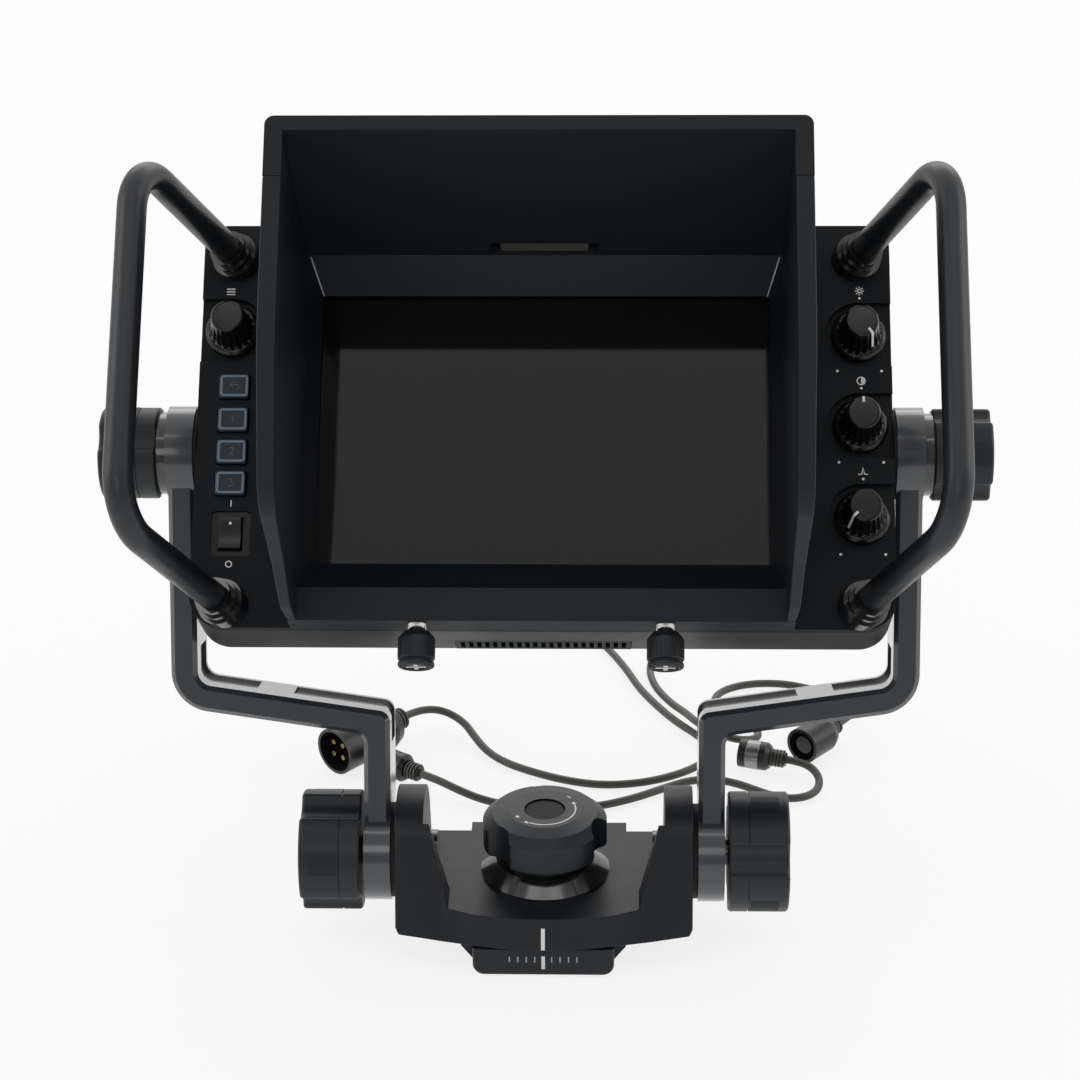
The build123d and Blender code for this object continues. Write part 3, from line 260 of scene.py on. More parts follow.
class Finish(Enum):
    """The finishes of the object, by the maker's names."""

    ARM = Coating("arm_satin_paint", (0.024, 0.030, 0.038), 0.32, coat=1.0, grain=1800.0)
    CASTING = Coating(
        "bracket_satin_paint", (0.010, 0.012, 0.016), 0.40, grain=1500.0, specular=0.3
    )
    PANEL = Coating(
        "panel_powder_coat", (0.0060, 0.0082, 0.0105), 0.5,
        grain=2600.0, grain_strength=0.4, specular=0.16,
    )
    HOUSING = Coating(
        "housing_powder_coat", (0.008, 0.0095, 0.012), 0.42, grain=2600.0, grain_strength=0.4
    )
    HOOD = Coating(
        "hood_moulded_plastic", (0.008, 0.012, 0.0165), 0.5,
        grain=3200.0, grain_strength=0.45, specular=0.27,
    )
    TUBE = Coating("handle_anodised_tube", (0.014, 0.017, 0.021), 0.38, mottle_gloss=0.05)
    GLOSS = Coating(
        "flange_gloss_black", (0.009, 0.010, 0.012), 0.16, coat=0.8, mottle_gloss=0.04
    )
    KNOB = Coating(
        "clamp_knob_moulding", (0.009, 0.013, 0.017), 0.42,
        grain=2800.0, grain_strength=0.35, specular=0.4,
    )
    DIAL = Coating(
        "dial_gloss_moulding", (0.005, 0.006, 0.007), 0.22, mottle_gloss=0.05, specular=0.4
    )
    BUTTON = Coating(
        "button_blue_grey_rubber", (0.014, 0.024, 0.034), 0.42, grain=2600.0, specular=0.4
    )
    RIM = Coating("button_rim_print", (0.15, 0.22, 0.29), 0.5)
    KEY_PRINT = Coating("button_mark_print", (0.07, 0.10, 0.13), 0.5)
    NICKEL = Coating("bright_nickel", (0.62, 0.61, 0.58), 0.2, metallic=1.0, shade=0.08)
    STEEL = Coating("turned_steel", (0.30, 0.30, 0.30), 0.34, metallic=1.0, shade=0.12)
    WASHER = Coating("friction_washer_fibre", (0.008, 0.008, 0.008), 0.6, specular=0.3)
    LEAD = Coating(
        "lead_jacket", (0.066, 0.064, 0.052), 0.42, grain=1600.0, grain_strength=0.3
    )
    PLUG = Coating("plug_black_shell", (0.014, 0.014, 0.014), 0.32)
    BOARD = Coating("circuit_board", (0.02, 0.07, 0.03), 0.5)
    WINDOW = Coating("smoked_window", (0.10, 0.095, 0.08), 0.3)
    PRINT = Coating("white_print", (0.85, 0.86, 0.87), 0.55, shade=0.06)
    GREY_PRINT = Coating("grey_print", (0.42, 0.43, 0.44), 0.55, shade=0.06)
    GLASS = Coating(
        "screen_glass", (0.0044, 0.0028, 0.0034), 0.045,
        mottle_gloss=0.02, grain_strength=0.0, grain_depth=0.0, mottle=12.0, specular=0.52,
    )
    # Painted highlight: a light grey finish for the beads that stand in for light caught on the
    # bezel's rounded mitre edges.
    MITRE_HIGHLIGHT = Coating("painted_mitre_highlight", (0.55, 0.56, 0.58), 0.3)
    FLOCK = Coating(
        "hood_flock", (0.007, 0.009, 0.012), 0.62,
        grain=1400.0, grain_strength=0.6, specular=0.3,
    )
    BRASS = Coating("pin_brass", (0.62, 0.44, 0.18), 0.25, metallic=1.0, shade=0.08)


class Finishes:
    """Materials made once from the finishes and handed out by name."""

    def __init__(self) -> None:
        """Start with nothing made."""
        self.made: dict[Finish, bpy.types.Material] = {}

    def __getitem__(self, finish: Finish) -> bpy.types.Material:
        """Material of a finish, made at its first use.

        Args:
            finish: which one.

        Returns:
            The material.
        """
        if finish not in self.made:
            self.made[finish] = finish.value.material()
        return self.made[finish]


@dataclass(frozen=True)
class Placing:
    """A frame in the object: an origin in metres and three unit axes."""

    origin: Vector
    x: Vector
    y: Vector
    z: Vector

    def at(self, x: float, y: float, z: float) -> Vector:
        """World point of local millimetres."""
        return self.origin + (self.x * x + self.y * y + self.z * z) * MM

    def matrix(self, x: float = 0.0, y: float = 0.0, z: float = 0.0) -> Matrix:
        """World matrix of the frame, moved to a local point in millimetres."""
        turn = Matrix((self.x, self.y, self.z)).transposed().to_4x4()
        return Matrix.Translation(self.at(x, y, z)) @ turn


class Stance:
    """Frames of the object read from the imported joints: world, arms and head."""

    PIVOT_U = -4.4
    PIVOT_DEPTH = 14.3

    def __init__(self, joints: Sequence[dict]) -> None:
        """Work the frames out of the joints.

        Args:
            joints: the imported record's joints.
        """
        named = {joint["name"]: joint for joint in joints}
        out = Vector(named["hood_slide"]["axis"]).normalized()
        up = out.cross(X).normalized()
        self.pivot = Vector(named["head_tilt"]["pos_m"])
        self.base_pivot = Vector(named["arm_tilt"]["pos_m"])
        middle = self.pivot - up * self.PIVOT_U * MM + out * self.PIVOT_DEPTH * MM
        self.head = Placing(middle, X, up, out)
        along = (self.pivot - self.base_pivot).normalized()
        self.arm = Placing(self.base_pivot, X, along, X.cross(along).normalized())
        self.world = Placing(Vector((0, 0, 0)), X, Y, Z)


def shown(name: str, data: bpy.types.ID) -> bpy.types.Object:
    """Link a new object to the scene.

    Args:
        name: the object's name.
        data: its mesh, curve, camera or light.

    Returns:
        The object.
    """
    piece = bpy.data.objects.new(name, data)
    bpy.context.scene.collection.objects.link(piece)
    return piece


def evaluated_mesh(piece: bpy.types.Object) -> bpy.types.Mesh:
    """Plain mesh of an object after its modifiers.

    Args:
        piece: the object.

    Returns:
        A new mesh.
    """
    graph = bpy.context.evaluated_depsgraph_get()
    graph.update()
    return bpy.data.meshes.new_from_object(piece.evaluated_get(graph), depsgraph=graph)


class Workshop:
    """Makes meshes, places them, gives them their finish and reports them."""

    MERGE_METRES = 1e-6
    FLAT_DEGREES = 0.6
    SHARP_DEGREES = 35

    def __init__(self, frame: dict) -> None:
        """Keep the frame and its placings.
        """
        self.nodes: dict[str, bpy.types.Object] = frame["nodes"]
        record = frame["record"]
        bodies = record["behaviour"]["bodies"]
        self.body_of = {node: body for body, members in bodies.items() for node in members}
        self.slot_of = {part["node"]: part["material_slot"] for part in record["subparts"]}
        self.finishes = Finishes()
        self.stance = Stance(frame["joints"])

    def link(
        self, name: str, mesh: bpy.types.Mesh, finish: Finish, smooth: bool = True
    ) -> bpy.types.Object:
        """Turn a mesh into a shown object with its finish.

        Args:
            name: the piece's name.
            mesh: its mesh.
            finish: its finish.
            smooth: whether it is shaded smooth.

        Returns:
            The object.
        """
        mesh.materials.clear()
        mesh.materials.append(self.finishes[finish])
        if smooth:
            mesh.shade_smooth()
        return shown(name, mesh)

    def settle(
        self, piece: bpy.types.Object, body: str, slot: str, replaced: Sequence[str] = ()
    ) -> bpy.types.Object:
        """Ride a finished piece on its body and hide the CAD nodes that it stands for.

        Args:
            piece: the object.
            body: the body that it moves with.
            slot: the record's material slot; not used.
            replaced: CAD nodes that it stands for.

        Returns:
            The same object.
        """
        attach(piece, body)
        if replaced:
            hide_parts(*replaced)
        log.info("%s rides on %s", piece.name, body)
        return piece

    def stand_in(self, piece: bpy.types.Object, node: str) -> bpy.types.Object:
        """Settle a piece in the place of one CAD node."""
        return self.settle(piece, self.body_of[node], self.slot_of[node], (node,))

    def plain(self, piece: bpy.types.Object) -> bpy.types.Object:
        """Apply the modifiers of a piece and leave a plain mesh.

        Args:
            piece: the object.

        Returns:
            The same object.
        """
        mesh = evaluated_mesh(piece)
        piece.modifiers.clear()
        old, piece.data = piece.data, mesh
        bpy.data.meshes.remove(old)
        return piece

    def carve(self, piece: bpy.types.Object, cutters: Iterable[bpy.types.Mesh]) -> None:
        """Cut closed meshes out of a piece.

        Args:
            piece: the object that is cut.
            cutters: the meshes, used up by the cuts.
        """
        for mesh in cutters:
            cutter = shown("cutter", mesh)
            cut = piece.modifiers.new("recess", "BOOLEAN")
            cut.operation = "DIFFERENCE"
            cut.solver = "EXACT"
            cut.object = cutter
            self.plain(piece)
            bpy.data.objects.remove(cutter)
            bpy.data.meshes.remove(mesh)

    def softened(
        self,
        node: str,
        finish: Finish,
        width: float,
        segments: int = 2,
        cutters: Iterable[bpy.types.Mesh] = (),
    ) -> bpy.types.Object:
        """Copy a CAD node, merge its triangles, cut its recesses and round its sharp edges.

        Args:
            node: the CAD node.
            finish: its finish.
            width: the rounding in millimetres.
            segments: steps of the rounding.
            cutters: closed meshes that are cut out first.

        Returns:
            The piece that replaces the node.
        """
        mesh = self.nodes[node].data.copy()
        mesh.name = f"{node}_soft"
        if "custom_normal" in mesh.attributes:
            mesh.attributes.remove(mesh.attributes["custom_normal"])
        shape = bmesh.new()
        shape.from_mesh(mesh)
        bmesh.ops.remove_doubles(shape, verts=shape.verts, dist=self.MERGE_METRES)
        bmesh.ops.dissolve_limit(
            shape,
            angle_limit=math.radians(self.FLAT_DEGREES),
            verts=shape.verts,
            edges=shape.edges,
            delimit={"NORMAL"},
        )
        shape.to_mesh(mesh)
        shape.free()
        piece = self.link(f"{node}_finish", mesh, finish)
        self.carve(piece, cutters)
        bevel = piece.modifiers.new("edge_round", "BEVEL")
        bevel.width = width * MM
        bevel.segments = segments
        bevel.limit_method = "ANGLE"
        bevel.angle_limit = math.radians(self.SHARP_DEGREES)
        bevel.harden_normals = True
        bevel.use_clamp_overlap = True
        return self.stand_in(self.plain(piece), node)

    def dress(self, finish: Finish, *nodes: str) -> None:
        """Give CAD nodes whose shape is right their finish.

        Args:
            finish: the finish.
            nodes: the CAD nodes.
        """
        for node in nodes:
            materials = self.nodes[node].data.materials
            materials.clear()
            materials.append(self.finishes[finish])

    def low(self, node: str) -> Vector:
        """Lowest corner of a CAD node's box."""
        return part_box(node)[0]

    def high(self, node: str) -> Vector:
        """Highest corner of a CAD node's box."""
        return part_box(node)[1]


def mesh_of_rings(name: str, rings: Sequence[Sequence[Vector]]) -> bpy.types.Mesh:
    """Skin a closed tube through rings of equally many points, with a face at each end.

    Args:
        name: the mesh's name.
        rings: the rings, in order.

    Returns:
        A mesh whose faces point outwards.
    """
    shape = bmesh.new()
    rows = [[shape.verts.new(point) for point in ring] for ring in rings]
    count = len(rows[0])
    for lower, upper in zip(rows, rows[1:]):
        for i in range(count):
            j = (i + 1) % count
            shape.faces.new((lower[i], lower[j], upper[j], upper[i]))
    shape.faces.new(list(reversed(rows[0])))
    shape.faces.new(rows[-1])
    bmesh.ops.recalc_face_normals(shape, faces=shape.faces)
    mesh = bpy.data.meshes.new(name)
    shape.to_mesh(mesh)
    shape.free()
    return mesh


def turned_mesh(
    name: str,
    place: Matrix,
    profile: Sequence[Flat],
    steps: int,
    swell: Callable[[float, float, float], float] | None = None,
) -> bpy.types.Mesh:
    """Turn a profile about the z axis of a placing.

    Args:
        name: the mesh's name.
        place: the world matrix of the turning axis.
        profile: (radius, height) pairs in millimetres, from one end to the other.
        steps: points round the axis.
        swell: radius at (angle, radius, height), for flutes.

    Returns:
        A closed mesh.
    """
    rings = []
    for radius, height in profile:
        ring = []
        for i in range(steps):
            angle = TAU * i / steps
            r = swell(angle, radius, height) if swell else radius
            ring.append(place @ (Vector((r * math.cos(angle), r * math.sin(angle), height)) * MM))
        rings.append(ring)
    return mesh_of_rings(name, rings)


def rounded_profile(corners: Sequence[Flat], radius: float, steps: int = 3) -> list[Flat]:
    """Round the inner corners of a profile by short arcs of quadratic blend.

    Args:
        corners: the profile's corners in millimetres.
        radius: how far a corner is cut along each side, at most.
        steps: points on each corner.

    Returns:
        The profile with its corners rounded.
    """
    side_share = 0.45
    points = [corners[0]]
    for before, corner, after in zip(corners, corners[1:], corners[2:]):
        a, b, c = Vector(before), Vector(corner), Vector(after)
        cut = min(radius, (a - b).length * side_share, (c - b).length * side_share)
        start, end = b + (a - b).normalized() * cut, b + (c - b).normalized() * cut
        for i in range(steps + 1):
            t = i / steps
            blend = start * (1 - t) ** 2 + b * 2 * t * (1 - t) + end * t**2
            points.append((blend.x, blend.y))
    points.append(corners[-1])
    return points


def bend_points(
    before: Vector, corner: Vector, after: Vector, radius: float, steps: int
) -> list[Vector]:
    """Round one corner of a path in space by a true arc.

    Args:
        before: the point before the corner.
        corner: the corner.
        after: the point after it.
        radius: the arc's radius.
        steps: parts of the arc.

    Returns:
        Points on the arc, with its two ends.
    """
    back, ahead = (before - corner).normalized(), (after - corner).normalized()
    half = back.angle(ahead) / 2
    reach = radius / math.tan(half)
    centre = corner + (back + ahead).normalized() * radius / math.sin(half)
    start = (corner + back * reach - centre).normalized()
    sweep = math.pi - 2 * half
    turns = [sweep * i / steps for i in range(steps + 1)]
    return [centre + (start * math.cos(t) - back * math.sin(t)) * radius for t in turns]


def tube_mesh(name: str, path: Sequence[Vector], radius: float, sides: int) -> bpy.types.Mesh:
    """Round tube along a path, its rings carried without twist.

    Args:
        name: the mesh's name.
        path: points of the middle line.
        radius: the tube's radius, in the unit of the path.
        sides: points round the tube.

    Returns:
        A closed mesh.
    """
    rings = []
    side = (path[1] - path[0]).orthogonal().normalized()
    for i, point in enumerate(path):
        ahead = (path[min(i + 1, len(path) - 1)] - path[max(i - 1, 0)]).normalized()
        side = (side - ahead * side.dot(ahead)).normalized()
        other = ahead.cross(side)
        turns = [TAU * k / sides for k in range(sides)]
        rings.append([point + (side * math.cos(t) + other * math.sin(t)) * radius for t in turns])
    return mesh_of_rings(name, rings)


def joined(name: str, parts: Iterable[bpy.types.Mesh]) -> bpy.types.Mesh:
    """Join meshes into one.

    Args:
        name: the new mesh's name.
        parts: the meshes, which are removed.

    Returns:
        The joined mesh.
    """
    shape = bmesh.new()
    for part in parts:
        shape.from_mesh(part)
        bpy.data.meshes.remove(part)
    mesh = bpy.data.meshes.new(name)
    shape.to_mesh(mesh)
    shape.free()
    return mesh


def flat_prism(name: str, place: Matrix, outline: Sequence[Flat]) -> bpy.types.Mesh:
    """Prism as thin as print.

    Args:
        name: the mesh's name.
        place: the world matrix of its plane.
        outline: its outline in that plane, in millimetres.

    Returns:
        A closed mesh.
    """
    levels = (0.0, PRINT_RISE)
    rings = [[place @ (Vector((x, y, level)) * MM) for x, y in outline] for level in levels]
    return mesh_of_rings(name, rings)


def stroke(name: str, place: Matrix, path: Sequence[Flat], width: float) -> bpy.types.Mesh:
    """Printed line of one width along a path in a placing's plane.

    Args:
        name: the mesh's name.
        place: the world matrix of the plane.
        path: the line's points in millimetres.
        width: the line's width in millimetres.

    Returns:
        A thin closed mesh.
    """
    points = [Vector(p) for p in path]
    left, right = [], []
    for i, point in enumerate(points):
        ahead = points[min(i + 1, len(points) - 1)] - points[max(i - 1, 0)]
        side = Vector((-ahead.y, ahead.x)).normalized() * width / 2
        left.append(tuple(point + side))
        right.append(tuple(point - side))
    return flat_prism(name, place, left + right[::-1])


def arc_points(radius: float, start: float, sweep: float, steps: int = 12) -> list[Flat]:
    """Points on an arc, angles in degrees."""
    turns = [math.radians(start + sweep * i / steps) for i in range(steps + 1)]
    return [(radius * math.cos(t), radius * math.sin(t)) for t in turns]


def disc_points(radius: float, steps: int = 20) -> list[Flat]:
    """Points round a whole circle."""
    return arc_points(radius, 0, 360 * (steps - 1) / steps, steps - 1)


def lobe_rows(place: Matrix, first: float, sizes: dict[str, float]) -> list[Row]:
    """Rows of ridges on a knob's three lobes, from the angle of the first ridge of all."""
    return [(place, {**sizes, "Start": first + LOBE * lobe}) for lobe in range(3)]


class RepeatTree:
    """Geometry Nodes tree that repeats a small bar or stud round an arc or along a line."""

    LABELS = ("Count", "Radius", "Start", "Step", "Pitch", "Across", "Out", "Along", "Material")
    KINDS = {"Count": "Int", "Material": "Material"}
    STUD_SIDES = 16

    def __init__(self, name: str, round_stud: bool) -> None:
        """Build the tree once.

        Args:
            name: the tree's name.
            round_stud: studs instead of bars.
        """
        self.tree = bpy.data.node_groups.new(name, "GeometryNodeTree")
        sockets = self.tree.interface
        sockets.new_socket("Geometry", in_out="OUTPUT", socket_type="NodeSocketGeometry")
        self.identifiers: dict[str, str] = {}
        for label in self.LABELS:
            kind = f"NodeSocket{self.KINDS.get(label, 'Float')}"
            made = sockets.new_socket(label, in_out="INPUT", socket_type=kind)
            self.identifiers[label] = made.identifier
        self.wire(round_stud)

    def wire(self, round_stud: bool) -> None:
        """Wire points, their places and turns, the repeated shape, realize and material.

        Args:
            round_stud: studs instead of bars.
        """
        bench = TreeBench(self.tree)
        source = bench.node("NodeGroupInput")
        given = {label: bench.value(source, label) for label in self.LABELS}
        index = bench.value(bench.node("GeometryNodeInputIndex"))
        angle = index * given["Step"] + given["Start"]
        spot = {
            "X": angle.combine("COSINE") * given["Radius"],
            "Y": angle.combine("SINE") * given["Radius"],
            "Z": index * given["Pitch"],
        }
        points = bench.node("GeometryNodePoints", {"Count": given["Count"]}).outputs[0]
        place = bench.node("ShaderNodeCombineXYZ", spot).outputs[0]
        laid = bench.node("GeometryNodeSetPosition", {"Geometry": points, "Position": place})
        if round_stud:
            sizes = {
                "Vertices": self.STUD_SIDES, "Radius": given["Across"], "Depth": given["Along"]
            }
            shape = bench.node("GeometryNodeMeshCylinder", sizes)
        else:
            sizes = {"X": given["Out"], "Y": given["Across"], "Z": given["Along"]}
            size = bench.node("ShaderNodeCombineXYZ", sizes).outputs[0]
            shape = bench.node("GeometryNodeMeshCube", {"Size": size})
        turn = bench.node("ShaderNodeCombineXYZ", {"Z": angle}).outputs[0]
        spread = bench.node(
            "GeometryNodeInstanceOnPoints",
            {"Points": laid.outputs[0], "Instance": shape.outputs["Mesh"], "Rotation": turn},
        )
        whole = bench.node("GeometryNodeRealizeInstances", {0: spread.outputs[0]}).outputs[0]
        painted = {"Geometry": whole, "Material": given["Material"]}
        result = bench.node("GeometryNodeSetMaterial", painted).outputs[0]
        bench.node("NodeGroupOutput", {0: result})

    def mesh(
        self, name: str, place: Matrix, material: bpy.types.Material, **sizes: float
    ) -> bpy.types.Mesh:
        """Evaluate the tree with its sizes and return a placed, plain mesh.

        Args:
            name: the mesh's name.
            place: where the pattern's own frame stands.
            material: the material that the tree sets.
            sizes: named inputs, lengths in millimetres and angles in degrees.

        Returns:
            The realized mesh.
        """
        holder = shown(name, bpy.data.meshes.new(name))
        modifier = holder.modifiers.new("repeat", "NODES")
        modifier.node_group = self.tree
        for label, identifier in self.identifiers.items():
            if label == "Material":
                modifier[identifier] = material
            elif label == "Count":
                modifier[identifier] = int(sizes[label])
            elif label in ("Start", "Step"):
                modifier[identifier] = math.radians(sizes.get(label, 0.0))
            else:
                modifier[identifier] = sizes.get(label, 0.0) * MM
        holder.update_tag()
        mesh = evaluated_mesh(holder)
        bpy.data.objects.remove(holder)
        mesh.transform(place)
        return mesh


class Icon(Enum):
    """Generic marks as strokes in a unit square, centred on zero."""

    SUN = (
        tuple(arc_points(0.2, 0, 360)),
        *(((0.32 * math.cos(a), 0.32 * math.sin(a)), (0.48 * math.cos(a), 0.48 * math.sin(a)))
          for a in (TAU * i / 8 for i in range(8))),
    )
    HALF = (
        tuple(arc_points(0.42, 0, 360, 20)),
        *(((x, -math.sqrt(0.16 - x * x)), (x, math.sqrt(0.16 - x * x)))
          for x in (0.04, 0.14, 0.24, 0.34)),
    )
    PEAK = (((-0.5, -0.3), (-0.15, -0.3), (0.0, 0.42), (0.15, -0.3), (0.5, -0.3)),)
    BARS = tuple(((-0.45, y), (0.45, y)) for y in (0.3, 0.0, -0.3))
    RETURN = (
        ((0.45, -0.3), (0.45, 0.12), (-0.4, 0.12)),
        ((-0.15, 0.36), (-0.42, 0.12), (-0.15, -0.12)),
    )
    ONE = (((-0.16, 0.22), (0.04, 0.4), (0.04, -0.4)),)
    TWO = (
        ((-0.22, 0.24), (-0.1, 0.39), (0.12, 0.39), (0.22, 0.22), (0.16, 0.02), (-0.24, -0.4),
         (0.26, -0.4)),
    )
    THREE = (
        ((-0.2, 0.4), (0.22, 0.4), (0.0, 0.08), (0.2, -0.04), (0.2, -0.28), (0.04, -0.4),
         (-0.2, -0.36)),
    )
    LINE = (((0.0, 0.42), (0.0, -0.42)),)
    RING = (tuple(arc_points(0.36, 0, 360, 18)),)


@dataclass
class Ink:
    """Printing of one colour on one body, gathered into a single thin mesh."""

    shop: Workshop
    name: str
    body: str
    slot: str
    finish: Finish = Finish.PRINT
    parts: list[bpy.types.Mesh] = field(default_factory=list)

    def line(self, place: Matrix, path: Sequence[Flat], width: float) -> None:
        """Add a line along a path."""
        self.parts.append(stroke("stroke", place, path, width))

    def dot(self, place: Matrix, x: float, y: float, radius: float) -> None:
        """Add a dot."""
        outline = [(x + a, y + b) for a, b in disc_points(radius)]
        self.parts.append(flat_prism("dot", place, outline))

    def icon(
        self, place: Matrix, icon: Icon, x: float, y: float, size: float, width: float
    ) -> None:
        """Add an icon of a size with a line width."""
        for path in icon.value:
            self.line(place, [(x + a * size, y + b * size) for a, b in path], width)

    def done(self) -> bpy.types.Object:
        """Join the printing and settle it on its body.

        Returns:
            The settled piece.
        """
        mesh = joined(self.name, self.parts)
        piece = self.shop.link(self.name, mesh, self.finish, smooth=False)
        return self.shop.settle(piece, self.body, self.slot)


@dataclass
class Patterns:
    """The two repeat trees, made once, and the pieces that they make."""

    shop: Workshop
    bars: RepeatTree = field(default_factory=lambda: RepeatTree("repeat_bars", False))
    studs: RepeatTree = field(default_factory=lambda: RepeatTree("repeat_studs", True))

    def piece(
        self, name: str, tree: RepeatTree, rows: Sequence[Row], finish: Finish, body: str, slot: str
    ) -> bpy.types.Object:
        """Run a tree at several places and settle the joined result.

        Args:
            name: the piece's name.
            tree: bars or studs.
            rows: pairs of a frame and the tree's sizes there.
            finish: the finish that the tree sets.
            body: the body that the piece moves with.
            slot: the record's material slot.

        Returns:
            The settled piece.
        """
        material = self.shop.finishes[finish]
        meshes = [tree.mesh(name, place, material, **sizes) for place, sizes in rows]
        piece = self.shop.link(name, joined(name, meshes), finish, smooth=False)
        return self.shop.settle(piece, body, slot)


@dataclass
class BaseGroup:
    """Base plate with its scale, spindle and washer."""

    shop: Workshop
    patterns: Patterns
    tick_pitch: float = 2.86
    tick_count: int = 9
    tick_width: float = 0.42
    tick_height: float = 2.2
    tick_middle: float = 6.7
    centre_width: float = 1.2
    centre_low: float = 2.9
    centre_high: float = 8.0
    print_lift: float = 0.04

    def build(self) -> None:
        """Dress the base and print its scale."""
        shop, patterns = self.shop, self.patterns
        shop.dress(Finish.STEEL, "pan_spindle")
        shop.dress(Finish.WASHER, "pan_washer")
        shop.softened("base_plate", Finish.CASTING, width=0.5)
        front = shop.low("base_plate").y
        first = -(self.tick_count - 1) / 2 * self.tick_pitch
        start = Placing(Vector((first * MM, front, self.tick_middle * MM)), Z, Y, X).matrix()
        sizes = {"Count": self.tick_count, "Pitch": self.tick_pitch, "Out": self.tick_height,
                 "Across": 2 * PRINT_RISE, "Along": self.tick_width}
        patterns.piece(
            "base_scale", patterns.bars, [(start, sizes)], Finish.GREY_PRINT, "base", "cast_black"
        )
        ink = Ink(shop, "base_index", "base", "cast_black")
        face = Placing(Vector((0, front, 0)), X, Z, -Y)
        path = [(0, self.centre_low), (0, self.centre_high)]
        ink.line(face.matrix(z=self.print_lift), path, self.centre_width)
        ink.done()


@dataclass
class BracketGroup:
    """Yoke bracket with its index line, the polished flange and the pivot bolts."""

    shop: Workshop
    lean: float = 9.4
    lean_height: float = 40.61
    line_width: float = 1.3
    line_low: float = 0.3
    line_high: float = 8.0
    print_lift: float = 0.05

    def build(self) -> None:
        """Dress the bracket and print its index line."""
        shop = self.shop
        shop.softened("yoke_bracket", Finish.CASTING, width=0.7, segments=3)
        shop.dress(Finish.GLOSS, "pan_flange", "lower_pivot_left", "lower_pivot_right")
        low = shop.low("yoke_bracket")
        rise = Vector((0, self.lean, self.lean_height)).normalized()
        face = Placing(Vector((0, low.y, low.z)), X, rise, X.cross(rise))
        ink = Ink(shop, "bracket_index", "bracket", "cast_black")
        path = [(0, self.line_low), (0, self.line_high)]
        ink.line(face.matrix(z=self.print_lift), path, self.line_width)
        ink.done()


@dataclass
class PanKnobGroup:
    """Lobed pan knob with the printed turning arrow on its crown."""

    shop: Workshop
    patterns: Patterns
    arc_radius: float = 10.6
    arc_start: float = -121.0
    arc_sweep: float = 141.0
    arc_width: float = 0.5
    arrow_length: float = 1.3
    arrow_half: float = 0.95
    dot_angle: float = -150.0
    dot_radius: float = 0.65
    marks: tuple[tuple[float, float, float, float], ...] = (
        (0.2, -127, 8, 1.0), (0.9, 40, 9, 0.5)
    )
    lobe_radius: float = 21.3
    lobe_turn: float = -20.0
    ridge_count: int = 9
    ridge_step: float = 2.6
    ridge_out: float = 0.24
    ridge_across: float = 0.4
    ridge_length: float = 7.4
    barrel_middle: float = 9.5
    print_lift: float = 0.02

    def build(self) -> None:
        """Dress the knob, ridge its lobes and print its crown."""
        shop, patterns = self.shop, self.patterns
        shop.dress(Finish.KNOB, "pan_knob")
        shop.dress(Finish.PANEL, "pan_knob_cap")
        crown = Placing(Vector((0, 0, shop.high("pan_knob").z)), X, Y, Z)
        flat = crown.matrix(z=self.print_lift)
        ink = Ink(shop, "pan_knob_print", "pan_clamp", "knob_plastic")
        arc = arc_points(self.arc_radius, self.arc_start, self.arc_sweep, steps=28)
        ink.line(flat, arc, self.arc_width)
        tip, back = Vector(arc[-1]), Vector(arc[-3])
        ahead = (tip - back).normalized()
        side = Vector((-ahead.y, ahead.x)) * self.arrow_half
        head = [tip + ahead * self.arrow_length, tip + side, tip - side]
        ink.parts.append(flat_prism("arrow", flat, [(v.x, v.y) for v in head]))
        dot = arc_points(self.arc_radius, self.dot_angle, 1, 1)[0]
        ink.dot(flat, *dot, self.dot_radius)
        for rise, start, sweep, width in self.marks:
            ink.line(flat, arc_points(self.arc_radius + rise, start, sweep, steps=4), width)
        ink.done()
        first = self.lobe_turn + LOBE / 2 - self.ridge_step * (self.ridge_count - 1) / 2
        sizes = {"Count": self.ridge_count, "Radius": self.lobe_radius, "Step": self.ridge_step,
                 "Out": self.ridge_out, "Across": self.ridge_across, "Along": self.ridge_length}
        rows = lobe_rows(crown.matrix(z=-self.barrel_middle), first, sizes)
        patterns.piece(
            "pan_knob_ridges", patterns.bars, rows, Finish.KNOB, "pan_clamp", "knob_plastic"
        )


